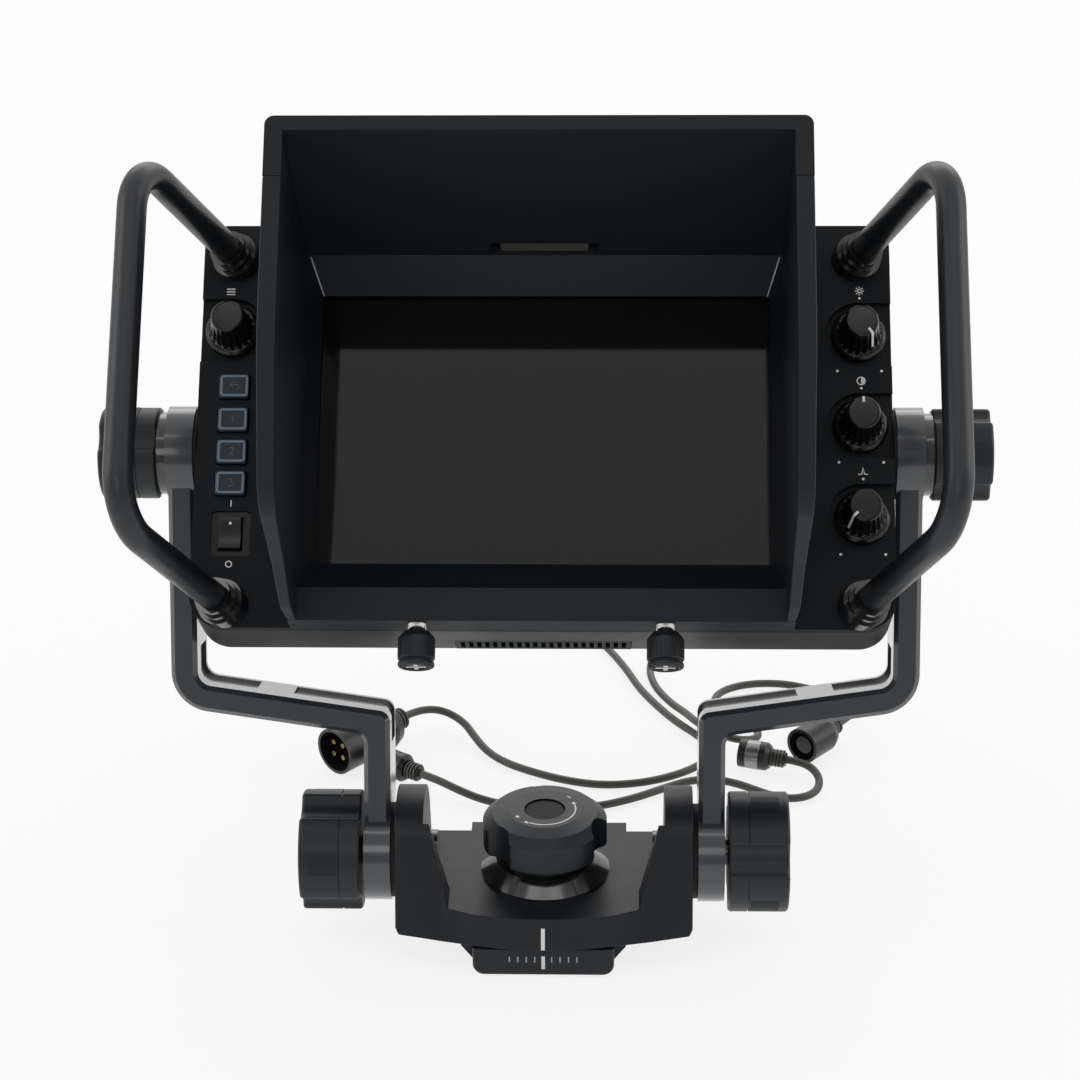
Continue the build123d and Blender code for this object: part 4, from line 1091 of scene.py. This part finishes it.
@dataclass
class ArmsGroup:
    """The two cranked arms, with long recesses milled in their upper faces round both elbows."""

    shop: Workshop
    low_elbow: Flat = (52.5, 50.27)
    high_elbow: Flat = (117.8, 59.65)
    elbow_cuts: Flat = (3.47, 4.33)
    low_reach: Flat = (12.0, 34.0)
    high_reach: Flat = (19.5, 12.0)
    recess_front: float = 3.0
    recess_rear: float = -9.5
    recess_depth: float = 1.2
    overcut: float = 1.5

    def recess(self, side: int, path: Sequence[Flat], cut: float) -> bpy.types.Mesh:
        """Cutter of one recess that follows the upper face round an elbow.

        Args:
            side: -1 for the left arm and 1 for the right one.
            path: start, elbow and end on the face, in the arm's plane.
            cut: how far the elbow's round reaches along each side.

        Returns:
            A closed mesh.
        """
        place = self.shop.stance.arm
        points = [Vector(p) for p in rounded_profile(path, cut, steps=8)]
        rings = []
        for i, point in enumerate(points):
            ahead = (points[min(i + 1, len(points) - 1)] - points[max(i - 1, 0)]).normalized()
            outward = Vector((-ahead.y, ahead.x))
            out, deep = point + outward * self.overcut, point - outward * self.recess_depth
            ring = ((out, self.recess_front), (out, self.recess_rear),
                    (deep, self.recess_rear), (deep, self.recess_front))
            rings.append([place.at(side * v.x, v.y, n) for v, n in ring])
        return mesh_of_rings("recess", rings)

    def build(self) -> None:
        """Dress the arms and cut their recesses."""
        low, high = Vector(self.low_elbow), Vector(self.high_elbow)
        run = (high - low).normalized()
        below, inward = self.low_reach
        outward, above = self.high_reach
        paths = (
            (low - Vector((0, below)), low, low + run * inward),
            (high - run * outward, high, high + Vector((0, above))),
        )
        for side, node in ((-1, "arm_left"), (1, "arm_right")):
            cutters = [
                self.recess(side, [tuple(v) for v in path], cut)
                for path, cut in zip(paths, self.elbow_cuts)
            ]
            self.shop.softened(node, Finish.ARM, width=0.5, segments=3, cutters=cutters)
        self.shop.dress(Finish.WASHER, "lower_washers", "upper_washers")


@dataclass(frozen=True)
class ClampKnob:
    """One clamp knob: its node, body, lobe radius, turn, side and whether it is on the head."""

    node: str
    body: str
    radius: float
    turn: float
    side: int
    on_head: bool


@dataclass
class ClampKnobs:
    """The four clamp knobs with ridged lobes, and the collars.

    The ridges' pitch is in degrees at a radius of 1 mm, so that it is the same on both sizes.
    """

    shop: Workshop
    patterns: Patterns
    groove: float = 7.0
    ridge_count: int = 13
    ridge_first: float = 46.8
    ridge_pitch: float = 38.522
    ridge_inset: float = 3.0
    ridge_short: float = 1.0
    ridge_out: float = 0.22
    ridge_across: float = 0.38
    knobs: tuple[ClampKnob, ...] = (
        ClampKnob("lower_knob_left", "lower_clamp_left", 20.6, 18.0, -1, False),
        ClampKnob("lower_knob_right", "lower_clamp_right", 20.6, 38.0, 1, False),
        ClampKnob("upper_knob_left", "upper_clamp_left", 15.5, 32.0, -1, True),
        ClampKnob("upper_knob_right", "upper_clamp_right", 15.5, 45.0, 1, True),
    )

    def build(self) -> None:
        """Dress the knobs and add their ridges."""
        shop, patterns = self.shop, self.patterns
        stance = shop.stance
        shop.dress(Finish.GLOSS, "upper_collar_left", "upper_collar_right")
        shop.dress(Finish.NICKEL, "upper_pivot_left", "upper_pivot_right")
        for knob in self.knobs:
            shop.dress(Finish.KNOB, knob.node)
            low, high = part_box(knob.node)
            start = (low if knob.side > 0 else high).x
            axes = stance.head if knob.on_head else stance.world
            centre = stance.pivot if knob.on_head else stance.base_pivot
            origin = Vector((start, centre.y, centre.z))
            frame = Placing(origin, axes.y, axes.z * knob.side, X * knob.side)
            length = (high.x - low.x) / MM - self.groove - self.ridge_inset
            sizes = {"Count": self.ridge_count, "Radius": knob.radius,
                     "Step": self.ridge_pitch / knob.radius, "Out": self.ridge_out,
                     "Across": self.ridge_across, "Along": length - self.ridge_short}
            middle = frame.matrix(z=self.groove + length / 2)
            rows = lobe_rows(middle, knob.turn + self.ridge_first, sizes)
            patterns.piece(
                f"{knob.node}_ridges", patterns.bars, rows, Finish.KNOB, knob.body, "knob_plastic"
            )


@dataclass
class HeadGroup:
    """Panel, housing, screen, handles and everything printed on the panel."""

    shop: Workshop
    patterns: Patterns
    glass_lean: float = 1.9
    glass_back: float = 2.0
    glass_sunk: float = 0.02
    glass_gap: float = 0.1
    handle_corners: tuple[Point, ...] = (
        (105.2, 60.8, 0.0), (129.5, 67.8, 70.5), (129.5, -52.5, 70.5), (105.2, -61.2, 0.0)
    )
    handle_bends: Flat = (16.0, 19.0)
    handle_radius: float = 4.79
    handle_seat: float = 1.84
    pot_x: float = 105.7
    pot_us: tuple[float, ...] = (33.5, 1.4, -30.4)
    label_x: float = 106.2
    label_rise: float = 15.6
    index_rise: float = 13.0
    end_spread: float = 7.4
    end_drop: float = 13.0
    dot_radius: float = 0.45
    icon_size: float = 3.2
    icon_line: float = 0.36
    icon_lift: float = 0.01
    dot_lift: float = 0.03
    left_icons: tuple[tuple[Icon, float, float, float], ...] = (
        (Icon.BARS, -107.0, 48.7, 3.2), (Icon.LINE, -104.0, -26.4, 2.6),
        (Icon.RING, -104.0, -47.4, 2.8),
    )

    def build(self) -> None:
        """Dress the head and print its panel."""
        shop = self.shop
        shop.softened("front_panel", Finish.PANEL, width=0.35)
        shop.softened("rear_housing", Finish.HOUSING, width=0.3)
        shop.dress(Finish.STEEL, "housing_screws", "control_pots", "power_inlet", "video_inlets")
        self.handles()
        shop.dress(Finish.GLOSS, "handle_collars")
        shop.dress(Finish.HOOD, "vent_grille")
        shop.softened("switch_frame", Finish.DIAL, width=0.4)
        shop.dress(Finish.BOARD, "display_panel", "main_board")
        self.glass()
        self.labels()

    def handles(self) -> None:
        """Bend the tube handles, round all the way."""
        shop = self.shop
        head = shop.stance.head
        for side, node in ((-1, "handle_left"), (1, "handle_right")):
            corners = [Vector((side * x, u, n)) for x, u, n in self.handle_corners]
            top, bottom = corners[1] - corners[0], corners[2] - corners[3]
            path = [corners[0] + top.normalized() * self.handle_seat]
            for first, bend in enumerate(self.handle_bends):
                path += bend_points(*corners[first : first + 3], bend, steps=20)
            path.append(corners[3] + bottom.normalized() * self.handle_seat)
            places = [head.at(*p) for p in path]
            mesh = tube_mesh(f"{node}_tube", places, self.handle_radius * MM, sides=40)
            shop.stand_in(shop.link(f"{node}_tube", mesh, Finish.TUBE), node)

    def glass(self) -> None:
        """Lean the screen glass back a little at its top, so that it mirrors the hood's roof."""
        shop = self.shop
        size = (shop.high("screen_glass") - shop.low("screen_glass")) / MM
        half_x = size.x / 2
        half_u = math.hypot(size.y, size.z) / 2 - self.glass_gap
        bottom, top = -self.glass_sunk, -self.glass_lean
        front = [(-half_x, -half_u, bottom), (half_x, -half_u, bottom),
                 (half_x, half_u, top), (-half_x, half_u, top)]
        back = [(x, u, -self.glass_back) for x, u, _ in front]
        place = shop.stance.head.matrix()
        rings = [[place @ (Vector(p) * MM) for p in ring] for ring in (back, front)]
        name = "screen_glass_leaning"
        shop.stand_in(
            shop.link(name, mesh_of_rings(name, rings), Finish.GLASS, smooth=False), "screen_glass"
        )

    def labels(self) -> None:
        """Print icons and dots on the panel."""
        shop, patterns = self.shop, self.patterns
        head = shop.stance.head
        face = head.matrix(z=self.icon_lift)
        ink = Ink(shop, "panel_print", "head", "panel_metal")
        for icon, u in zip((Icon.SUN, Icon.HALF, Icon.PEAK), self.pot_us):
            ink.icon(
                face, icon, self.label_x, u + self.label_rise, self.icon_size, self.icon_line
            )
        for icon, x, u, size in self.left_icons:
            ink.icon(face, icon, x, u, size, self.icon_line)
        ink.done()
        sizes = {"Count": 1, "Across": self.dot_radius, "Along": 2 * PRINT_RISE}
        dots = []
        for u in self.pot_us:
            spots = (
                (self.label_x, u + self.index_rise),
                (self.pot_x - self.end_spread, u - self.end_drop),
                (self.pot_x + self.end_spread, u - self.end_drop),
            )
            dots += [(head.matrix(x, v, self.dot_lift), sizes) for x, v in spots]
        patterns.piece("panel_dots", patterns.studs, dots, Finish.PRINT, "head", "panel_metal")


@dataclass(frozen=True)
class Dial:
    """One dial: node, body, place and its pointer's angle clockwise from up (None for none)."""

    node: str
    body: str
    x: float
    u: float
    pointer: float | None


@dataclass(frozen=True)
class Button:
    """One button: body, height on the panel and mark."""

    body: str
    u: float
    icon: Icon


@dataclass
class Controls:
    """Dials with pointers, the four buttons and the rocker."""

    shop: Workshop
    dial_foot: float = -1.9
    flutes: int = 18
    flute_top: float = 0.3
    flute_gain: float = 0.05
    flute_power: float = 1.3
    grip_low: float = 2.6
    grip_high: float = 15.0
    grip_radius: float = 7.5
    profile: tuple[Flat, ...] = (
        (9.28, 0.0), (9.28, 1.2), (9.1, 1.6), (8.2, 2.5), (8.0, 2.6), (7.4, 2.6), (7.25, 3.2),
        (6.4, 9.4), (5.75, 14.4), (5.68, 15.0), (5.6, 15.4), (5.4, 15.75), (5.0, 15.98),
        (4.6, 16.0), (0.05, 16.0),
    )
    pointer_path: tuple[Flat, ...] = (
        (3.5, 16.0), (4.9, 16.0), (5.4, 15.75), (5.68, 15.0), (6.4, 9.4), (6.95, 5.2),
    )
    pointer_width: float = 0.85
    pointer_clear: float = 0.16
    pointer_root: float = -0.2
    dials: tuple[Dial, ...] = (
        Dial("menu_knob", "menu_dial", -106.0, 34.9, None),
        Dial("brightness_knob", "brightness_dial", 105.7, 33.5, 142.0),
        Dial("contrast_knob", "contrast_dial", 105.7, 1.4, 0.0),
        Dial("peaking_knob", "peaking_dial", 105.7, -30.4, -134.0),
    )
    buttons: tuple[Button, ...] = (
        Button("return_button", 14.5, Icon.RETURN),
        Button("key_one", 2.7, Icon.ONE),
        Button("key_two", -8.6, Icon.TWO),
        Button("key_three", -19.6, Icon.THREE),
    )
    button_x: float = -104.4
    button_half: Flat = (4.25, 3.35)
    button_corner: float = 0.7
    button_face: float = 1.61
    rim_width: float = 0.75
    mark_size: float = 3.2
    mark_line: float = 0.36
    rocker_face: Point = (-103.85, -36.8, 1.12)
    rocker_dot: Point = (0.0, 3.2, 0.5)

    def dial(self, dial: Dial) -> None:
        """Turn one dial with its fluted grip, and print its pointer down the grip.

        Args:
            dial: which one.
        """
        shop = self.shop
        place = shop.stance.head.matrix(dial.x, dial.u, self.dial_foot)
        turn = math.radians(90 - (dial.pointer or 0.0))

        def fluted(angle: float, radius: float, height: float) -> float:
            """Radius of the grip, with its flutes left out under the pointer.

            Args:
                angle: round the dial, in radians.
                radius: the profile's radius in millimetres.
                height: the profile's height in millimetres.

            Returns:
                The radius there.
            """
            if not self.grip_low <= height <= self.grip_high or radius > self.grip_radius:
                return radius
            away = abs((angle - turn + math.pi) % TAU - math.pi)
            clear = 1.0
            if dial.pointer is not None:
                clear -= math.exp(-((away / self.pointer_clear) ** 2))
            depth = self.flute_top + self.flute_gain * (self.grip_high - height)
            wave = 0.5 - 0.5 * math.cos(self.flutes * (angle - turn))
            return radius - depth * clear * wave**self.flute_power

        mesh = turned_mesh(f"{dial.node}_turned", place, self.profile, self.flutes * 12, fluted)
        shop.stand_in(shop.link(f"{dial.node}_fluted", mesh, Finish.DIAL), dial.node)
        if dial.pointer is None:
            return
        ink = Ink(shop, f"{dial.node}_pointer", dial.body, "dial_plastic")
        away = Vector((math.cos(turn), math.sin(turn)))
        half = Vector((-away.y, away.x)) * self.pointer_width / 2
        top, root = PRINT_RISE, self.pointer_root
        section = ((top, -1), (top, 1), (root, 1), (root, -1))
        rings = [
            [place @ (Vector((*(away * (radius + rise) + half * way), height + rise)) * MM)
             for rise, way in section]
            for radius, height in self.pointer_path
        ]
        ink.parts.append(mesh_of_rings("pointer", rings))
        ink.done()

    def button(self, node: str, button: Button) -> None:
        """Dress one button with its light rim and its mark.

        Args:
            node: its CAD node.
            button: its body, place and mark.
        """
        shop, corner = self.shop, self.button_corner
        shop.dress(Finish.BUTTON, node)
        face = shop.stance.head.matrix(self.button_x, button.u, self.button_face)
        x, y = (half - corner for half in self.button_half)
        rim = []
        for quarter, (cx, cy) in enumerate(((x, y), (-x, y), (-x, -y), (x, -y))):
            rim += [(cx + a, cy + b) for a, b in arc_points(corner, 90 * quarter, 90, steps=4)]
        ink = Ink(shop, f"{node}_rim", button.body, "button_plastic", Finish.RIM)
        ink.line(face, rim + rim[:2], self.rim_width)
        ink.done()
        mark = Ink(shop, f"{node}_mark", button.body, "button_plastic", Finish.KEY_PRINT)
        mark.icon(face, button.icon, 0.0, 0.0, self.mark_size, self.mark_line)
        mark.done()

    def build(self) -> None:
        """Dress all the controls."""
        for dial in self.dials:
            self.dial(dial)
        for number, button in enumerate(self.buttons, 1):
            self.button(f"button_{number}", button)
        self.shop.softened("rocker_switch", Finish.DIAL, width=0.3)
        ink = Ink(self.shop, "rocker_dot", "power_rocker", "dial_plastic")
        ink.dot(self.shop.stance.head.matrix(*self.rocker_face), *self.rocker_dot)
        ink.done()


@dataclass
class HoodGroup:
    """Bezel frame with painted highlight beads on its top mitres, hood top, hood sides and the grey
    window.
    """

    shop: Workshop
    mitre: tuple[Point, Point] = ((75.1, 46.8, 1.0), (78.9, 56.9, 11.6))
    mitre_radius: float = 0.28

    def build(self) -> None:
        """Dress the hood and lay the light beads that paint the highlight of its top mitres."""
        shop = self.shop
        shop.softened("bezel_frame", Finish.HOOD, width=0.35)
        shop.softened("hood_top", Finish.FLOCK, width=0.5)
        for node in ("hood_side_left", "hood_side_right"):
            shop.softened(node, Finish.HOOD, width=0.5)
        shop.dress(Finish.WINDOW, "hood_window")
        # Light grey beads along the bezel's two top mitres: a painted highlight in place of the
        # softbox's reflection on the rounded edges.
        beads = []
        for side in (-1, 1):
            path = [shop.stance.head.at(side * x, u, n) for x, u, n in self.mitre]
            beads.append(tube_mesh("bead", path, self.mitre_radius * MM, sides=8))
        bead = shop.link("bezel_mitre_highlights", joined("bezel_mitre_highlights", beads), Finish.MITRE_HIGHLIGHT)
        shop.settle(bead, shop.body_of["bezel_frame"], shop.slot_of["bezel_frame"])


@dataclass
class Thumbscrews:
    """The two thumbscrews under the chin: bright neck, dark ridged head, crossed end."""

    shop: Workshop
    patterns: Patterns
    spread: float = 40.5
    depth: float = 7.0
    chin: float = 69.5
    neck: float = 2.5
    neck_profile: tuple[Flat, Flat] = ((3.0, -8.4), (3.0, 3.1))
    head_profile: tuple[Flat, ...] = (
        (2.2, 0.0), (4.15, 0.0), (6.0, 2.2), (6.0, 9.4), (5.25, 9.6), (5.25, 10.1), (6.0, 10.3),
        (6.0, 11.5), (5.35, 12.0), (4.3, 12.0), (4.0, 11.4), (0.05, 11.4),
    )
    head_round: float = 0.3
    ridge_middle: float = 5.7
    ridges: dict[str, float] = field(
        default_factory=lambda: {
            "Count": 44, "Radius": 6.0, "Step": 360 / 44, "Out": 0.26, "Across": 0.42, "Along": 6.4
        }
    )
    cross_middle: float = 11.55
    cross: dict[str, float] = field(
        default_factory=lambda: {"Count": 2, "Step": 90, "Out": 6.6, "Across": 1.4, "Along": 0.5}
    )

    def build(self) -> None:
        """Dress both thumbscrews."""
        shop, patterns = self.shop, self.patterns
        head = shop.stance.head
        profile = rounded_profile(
            [(radius, self.neck + height) for radius, height in self.head_profile], self.head_round
        )
        for side, node in ((-1, "thumbscrew_left"), (1, "thumbscrew_right")):
            body, slot = shop.body_of[node], "thumb_metal"
            origin = head.at(side * self.spread, -self.chin, self.depth)
            down = Placing(origin, head.x, head.z, -head.y)
            place = down.matrix()
            shank = turned_mesh(f"{node}_neck_turned", place, self.neck_profile, steps=32)
            shop.settle(shop.link(f"{node}_neck", shank, Finish.NICKEL), body, slot)
            grip = turned_mesh(f"{node}_head_turned", place, profile, steps=48)
            shop.settle(shop.link(f"{node}_head", grip, Finish.KNOB), body, slot, (node,))
            for word, middle, sizes, finish in (
                ("ridges", self.ridge_middle, self.ridges, Finish.KNOB),
                ("cross", self.cross_middle, self.cross, Finish.NICKEL),
            ):
                rows = [(down.matrix(z=self.neck + middle), sizes)]
                patterns.piece(f"{node}_{word}", patterns.bars, rows, finish, body, slot)


@dataclass(frozen=True)
class Plug:
    """One plug, in millimetres: shell radius, boot's length and ribs, length, pins and sleeve."""

    node: str
    shell: float
    boot: float
    rib_radius: float
    length: float
    pins: int
    sleeve: Flat | None = None


@dataclass(frozen=True)
class Lead:
    """One lead, in millimetres: its length, the plugs at its ends and its control points."""

    node: str
    length: float
    plugs: tuple[Plug, Plug]
    route: tuple[Point, ...]


POWER_LEAD = Lead(
    "power_lead",
    604.0,
    (Plug("power_plug", 9.2, 7.0, 4.3, 37.0, 4), Plug("power_socket", 7.0, 7.0, 3.4, 23.0, 0)),
    (
        (-59, 131.5, 9.2), (-54, 137.2, 9.2), (-45, 140.8, 7.8), (-36, 136, 5.2),
        (-31, 127, 3.0), (-26, 118, 1.7), (-18.5, 109.5, 1.5), (-8, 102.5, 1.5), (5, 96, 1.5),
        (19, 92.5, 1.5), (34, 94.5, 1.5), (47, 100.5, 1.5), (57, 109, 1.5), (61.5, 119, 1.5),
        (57, 130.5, 1.5), (48, 142, 1.5), (40, 156, 1.5), (33, 171, 1.5), (28, 187, 1.5),
        (22, 202, 1.5), (15, 216, 1.5), (12, 231, 1.5), (18.5, 245, 1.5), (32, 251.5, 1.5),
        (46, 246.5, 1.5), (53, 233, 1.5), (49.5, 218, 1.5), (41.5, 204, 1.5), (37, 189, 1.5),
        (39, 173, 1.5), (45.5, 157, 2.2), (51.5, 143.5, 5.0), (55, 131.5, 7.8),
        (62, 122.5, 7.8), (72, 121.5, 5.0), (80, 128.5, 2.2), (78.5, 139.5, 1.5),
        (69.5, 147.5, 1.5), (62, 156.5, 1.5), (65, 168, 1.5), (76.5, 175, 1.5),
        (91, 175.5, 1.5), (103.5, 170, 1.6), (112, 160.5, 2.8), (117.3, 150, 5.2),
        (117.5, 140.5, 7.0), (110, 131.5, 7.0),
    ),
)
VIDEO_LEAD = Lead(
    "video_lead",
    189.0,
    (
        Plug("video_plug_left", 5.4, 6.0, 3.4, 18.0, 1),
        Plug("video_plug_right", 5.4, 6.0, 3.4, 18.0, 1, (10.0, 15.0)),
    ),
    (
        (-50, 94, 5.4), (-43.5, 89.6, 5.4), (-35.5, 84.5, 4.0), (-25.5, 79.8, 2.1),
        (-12, 76, 1.5), (3, 74.5, 1.5), (18, 77, 1.5), (31, 83, 1.5), (42, 90.5, 1.5),
        (51.5, 96.5, 1.5), (61.5, 98, 1.5), (70, 94.5, 1.5), (76.5, 89.8, 1.5),
        (82.2, 85.8, 1.5), (89, 83.2, 1.5), (96.2, 85, 1.5), (100.8, 90.9, 1.6),
        (101, 98.2, 3.4), (96, 104, 5.4), (88.9, 106.2, 5.4),
    ),
)


@dataclass
class Leads:
    """The two leads on the table and the plugs on their ends."""

    shop: Workshop
    patterns: Patterns
    leads: tuple[Lead, ...] = (POWER_LEAD, VIDEO_LEAD)
    diameter: float = 3.0
    rib_count: int = 4
    rib_parts: float = 9.0
    rib_start: float = 0.2
    pin_ring: float = 3.6
    pin_radius: float = 0.95
    pin_length: float = 4.0
    sleeve_sunk: float = 0.4
    sleeve_proud: float = 0.12
    sleeve_round: float = 0.15

    def line(self, lead: Lead) -> bpy.types.Object:
        """One lead as a smooth round curve.

        Args:
            lead: which one.

        Returns:
            The curve object.
        """
        curve = bpy.data.curves.new(f"{lead.node}_line", "CURVE")
        curve.dimensions = "3D"
        spline = curve.splines.new("NURBS")
        spline.points.add(len(lead.route) - 1)
        for point, place in zip(spline.points, lead.route):
            point.co = (*(c * MM for c in place), 1.0)
        spline.order_u = 3
        spline.use_endpoint_u = True
        spline.resolution_u = 10
        curve.bevel_depth = self.diameter / 2 * MM
        curve.bevel_resolution = 5
        curve.use_fill_caps = True
        curve.materials.append(self.shop.finishes[Finish.LEAD])
        return shown(f"{lead.node}_line", curve)

    def end_placing(self, here: Point, there: Point) -> Placing:
        """Frame at a lead's end.

        Args:
            here: the end point.
            there: the point before it, from which the frame's z looks away.

        Returns:
            The frame.
        """
        out = (Vector(here) - Vector(there)).normalized()
        across = Z.cross(out).normalized()
        return Placing(Vector(here) * MM, across, out.cross(across).normalized(), out)

    def build(self) -> None:
        """Lay both leads and dress their plugs."""
        for lead in self.leads:
            piece = self.line(lead)
            route = lead.route
            self.shop.settle(piece, "base", "lead_rubber", (lead.node,))
            ends = []
            for plug, ending in zip(lead.plugs, (route[:2], route[:-3:-1])):
                ends += self.plug(plug, self.end_placing(*ending))
            tuple(c * MM for c in route[0])

    def plug(self, plug: Plug, place: Placing) -> list[bpy.types.Object]:
        """Dress one plug: shell finish, ribbed boot, pins and a bright sleeve where it has one.

        Args:
            plug: which one.
            place: frame at the lead's end, z away from the lead.

        Returns:
            The CAD node, which stays the plug's own shape, and the pieces on it.
        """
        shop, patterns, name = self.shop, self.patterns, plug.node
        shop.dress(Finish.PLUG, name)
        ribs = {"Count": self.rib_count, "Pitch": 2 * plug.boot / self.rib_parts,
                "Across": plug.rib_radius, "Along": plug.boot / self.rib_parts}
        rows = {"ribs": (place.matrix(z=plug.boot * self.rib_start), ribs, Finish.LEAD)}
        if plug.pins:
            pins = {"Count": plug.pins, "Radius": self.pin_ring if plug.pins > 1 else 0.0,
                    "Start": 45, "Step": 360 / plug.pins, "Across": self.pin_radius,
                    "Along": self.pin_length}
            rows["pins"] = (place.matrix(z=plug.length - self.pin_length), pins, Finish.BRASS)
        pieces = [shop.nodes[name]]
        for word, (middle, sizes, finish) in rows.items():
            pieces.append(
                patterns.piece(
                    f"{name}_{word}", patterns.studs, [(middle, sizes)], finish, "base",
                    "plug_metal",
                )
            )
        if plug.sleeve:
            inner, outer = plug.shell - self.sleeve_sunk, plug.shell + self.sleeve_proud
            low, high = plug.sleeve
            corners = [(inner, low), (outer, low), (outer, high), (inner, high)]
            profile = rounded_profile(corners, self.sleeve_round)
            ring = turned_mesh(f"{name}_sleeve_turned", place.matrix(), profile, steps=48)
            band = shop.link(f"{name}_sleeve", ring, Finish.STEEL)
            pieces.append(shop.settle(band, "base", "plug_metal"))
        return pieces


@dataclass(frozen=True)
class SoftBox:
    """One rectangular lamp: name, place and size in metres, power in watts."""

    name: str
    place: Point
    size: Flat
    power: float


@dataclass
class Studio:
    """Pale floor, soft light and the camera of the photograph."""

    focal_pixels: float = 2876.22
    picture_pixels: float = 1080.0
    sensor: float = 36.0
    distance: float = 943.35
    azimuth: float = 1.86
    pitch: float = 25.13
    roll: float = -0.62
    target: Point = (-0.64, 0.0, 147.43)
    floor_half: float = 3.0
    floor_drop: float = 0.0004
    floor_glow: float = 0.82
    floor_colour: tuple[float, ...] = (0.85, 0.85, 0.85, 1.0)
    room_colour: tuple[float, ...] = (1.0, 0.985, 0.97, 1.0)
    room_level: float = 0.575
    room_behind: float = 0.275
    room_above: float = 0.2
    room_least: float = 0.3
    lamp_aim: Point = (0.0, 0.02, 0.15)
    lamps: tuple[SoftBox, ...] = (
        SoftBox("soft_box_back", (0.1, 1.5, 1.0), (1.8, 0.8), 6.0),
        SoftBox("soft_box_left", (-1.4, -0.1, 0.8), (0.8, 1.2), 5.0),
        SoftBox("soft_box_right", (1.4, 0.1, 0.8), (0.8, 1.2), 5.0),
        SoftBox("soft_box_front", (-0.2, -1.6, 1.0), (0.7, 0.5), 2.0),
        SoftBox("strip_box_top", (0.0, -0.62, 1.66), (1.4, 0.12), 1.2),
    )

    def camera(self) -> None:
        """Put the camera at the photograph's place."""
        az, el, roll = (math.radians(a) for a in (self.azimuth, self.pitch, self.roll))
        ahead = Vector(
            (-math.sin(az) * math.cos(el), math.cos(az) * math.cos(el), -math.sin(el))
        )
        right = Vector((math.cos(az), math.sin(az), 0))
        up = right.cross(ahead)
        camera_x = right * math.cos(roll) + up * math.sin(roll)
        camera_y = up * math.cos(roll) - right * math.sin(roll)
        data = bpy.data.cameras.new("photo_camera")
        data.sensor_width = self.sensor
        data.lens = self.focal_pixels / self.picture_pixels * self.sensor
        data.clip_start = 0.05
        data.clip_end = 50.0
        camera = shown("photo_camera", data)
        turn = Matrix((camera_x, camera_y, -ahead)).transposed().to_4x4()
        place = Vector(self.target) * MM - ahead * self.distance * MM
        camera.matrix_world = Matrix.Translation(place) @ turn
        bpy.context.scene.camera = camera

    def floor(self) -> None:
        """Plain pale floor that shows white to the eye and keeps a soft shadow."""
        half = self.floor_half
        square = ((-half, -half), (half, -half), (half, half), (-half, half))
        mesh = bpy.data.meshes.new("floor")
        mesh.from_pydata([(x, y, -self.floor_drop) for x, y in square], [], [(0, 1, 2, 3)])
        bench = MaterialBench("pale_floor")
        rays = bench.node("ShaderNodeLightPath")
        seen = bench.value(rays, "Is Camera Ray")
        for kind in ("Is Transmission Ray", "Is Glossy Ray"):
            seen = seen.maximum(bench.value(rays, kind))
        paper = bench.node("ShaderNodeBsdfDiffuse", {"Color": self.floor_colour}).outputs[0]
        glow = bench.node("ShaderNodeEmission", {"Color": WHITE, "Strength": 1.0}).outputs[0]
        mixed = bench.node("ShaderNodeMixShader", {0: seen * self.floor_glow, 1: paper, 2: glow})
        mesh.materials.append(bench.finish(mixed.outputs[0]))
        shown("floor", mesh)

    def world(self) -> None:
        """Soft room: white to the eye, dimmer overhead towards the operator."""
        world = bpy.data.worlds.new("studio")
        bpy.context.scene.world = world
        world.use_nodes = True
        bench = TreeBench(world.node_tree)
        way = bench.node("ShaderNodeTexCoord").outputs["Generated"]
        split = bench.node("ShaderNodeSeparateXYZ", {0: way})
        away, up = bench.value(split, "Y"), bench.value(split, "Z")
        level = away * self.room_behind + self.room_level + up * self.room_above
        tones = {"Strength": level.maximum(self.room_least), "Color": self.room_colour}
        room = bench.node("ShaderNodeBackground", tones).outputs[0]
        white = bench.node("ShaderNodeBackground", {"Color": WHITE, "Strength": 1.0}).outputs[0]
        seen = bench.node("ShaderNodeLightPath").outputs["Is Camera Ray"]
        mixed = bench.node("ShaderNodeMixShader", {0: seen, 1: room, 2: white}).outputs[0]
        bench.node("ShaderNodeOutputWorld", {"Surface": mixed})

    def lamp(self, box: SoftBox) -> None:
        """Hang one soft box that looks at the object's middle.

        Args:
            box: which one.
        """
        data = bpy.data.lights.new(box.name, "AREA")
        data.shape = "RECTANGLE"
        data.size, data.size_y = box.size
        data.energy = box.power
        lamp = shown(box.name, data)
        lamp.location = box.place
        aim = Vector(self.lamp_aim) - Vector(box.place)
        lamp.rotation_euler = aim.to_track_quat("-Z", "Y").to_euler()

    def build(self) -> None:
        """Set up the view, the floor and the light."""
        self.camera()
        self.floor()
        self.world()
        for box in self.lamps:
            self.lamp(box)
        bpy.context.scene.view_settings.view_transform = "Standard"


def main() -> None:
    """Load the frame, build every group of pieces and the studio."""
    logging.basicConfig(level=logging.INFO, format="%(name)s: %(message)s")
    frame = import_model()
    shop = Workshop(frame)
    Studio().build()
    patterns = Patterns(shop)
    Leads(shop, patterns).build()
    BaseGroup(shop, patterns).build()
    BracketGroup(shop).build()
    PanKnobGroup(shop, patterns).build()
    ArmsGroup(shop).build()
    ClampKnobs(shop, patterns).build()
    HeadGroup(shop, patterns).build()
    Controls(shop).build()
    HoodGroup(shop).build()
    Thumbscrews(shop, patterns).build()


if __name__ == "__main__":
    main()
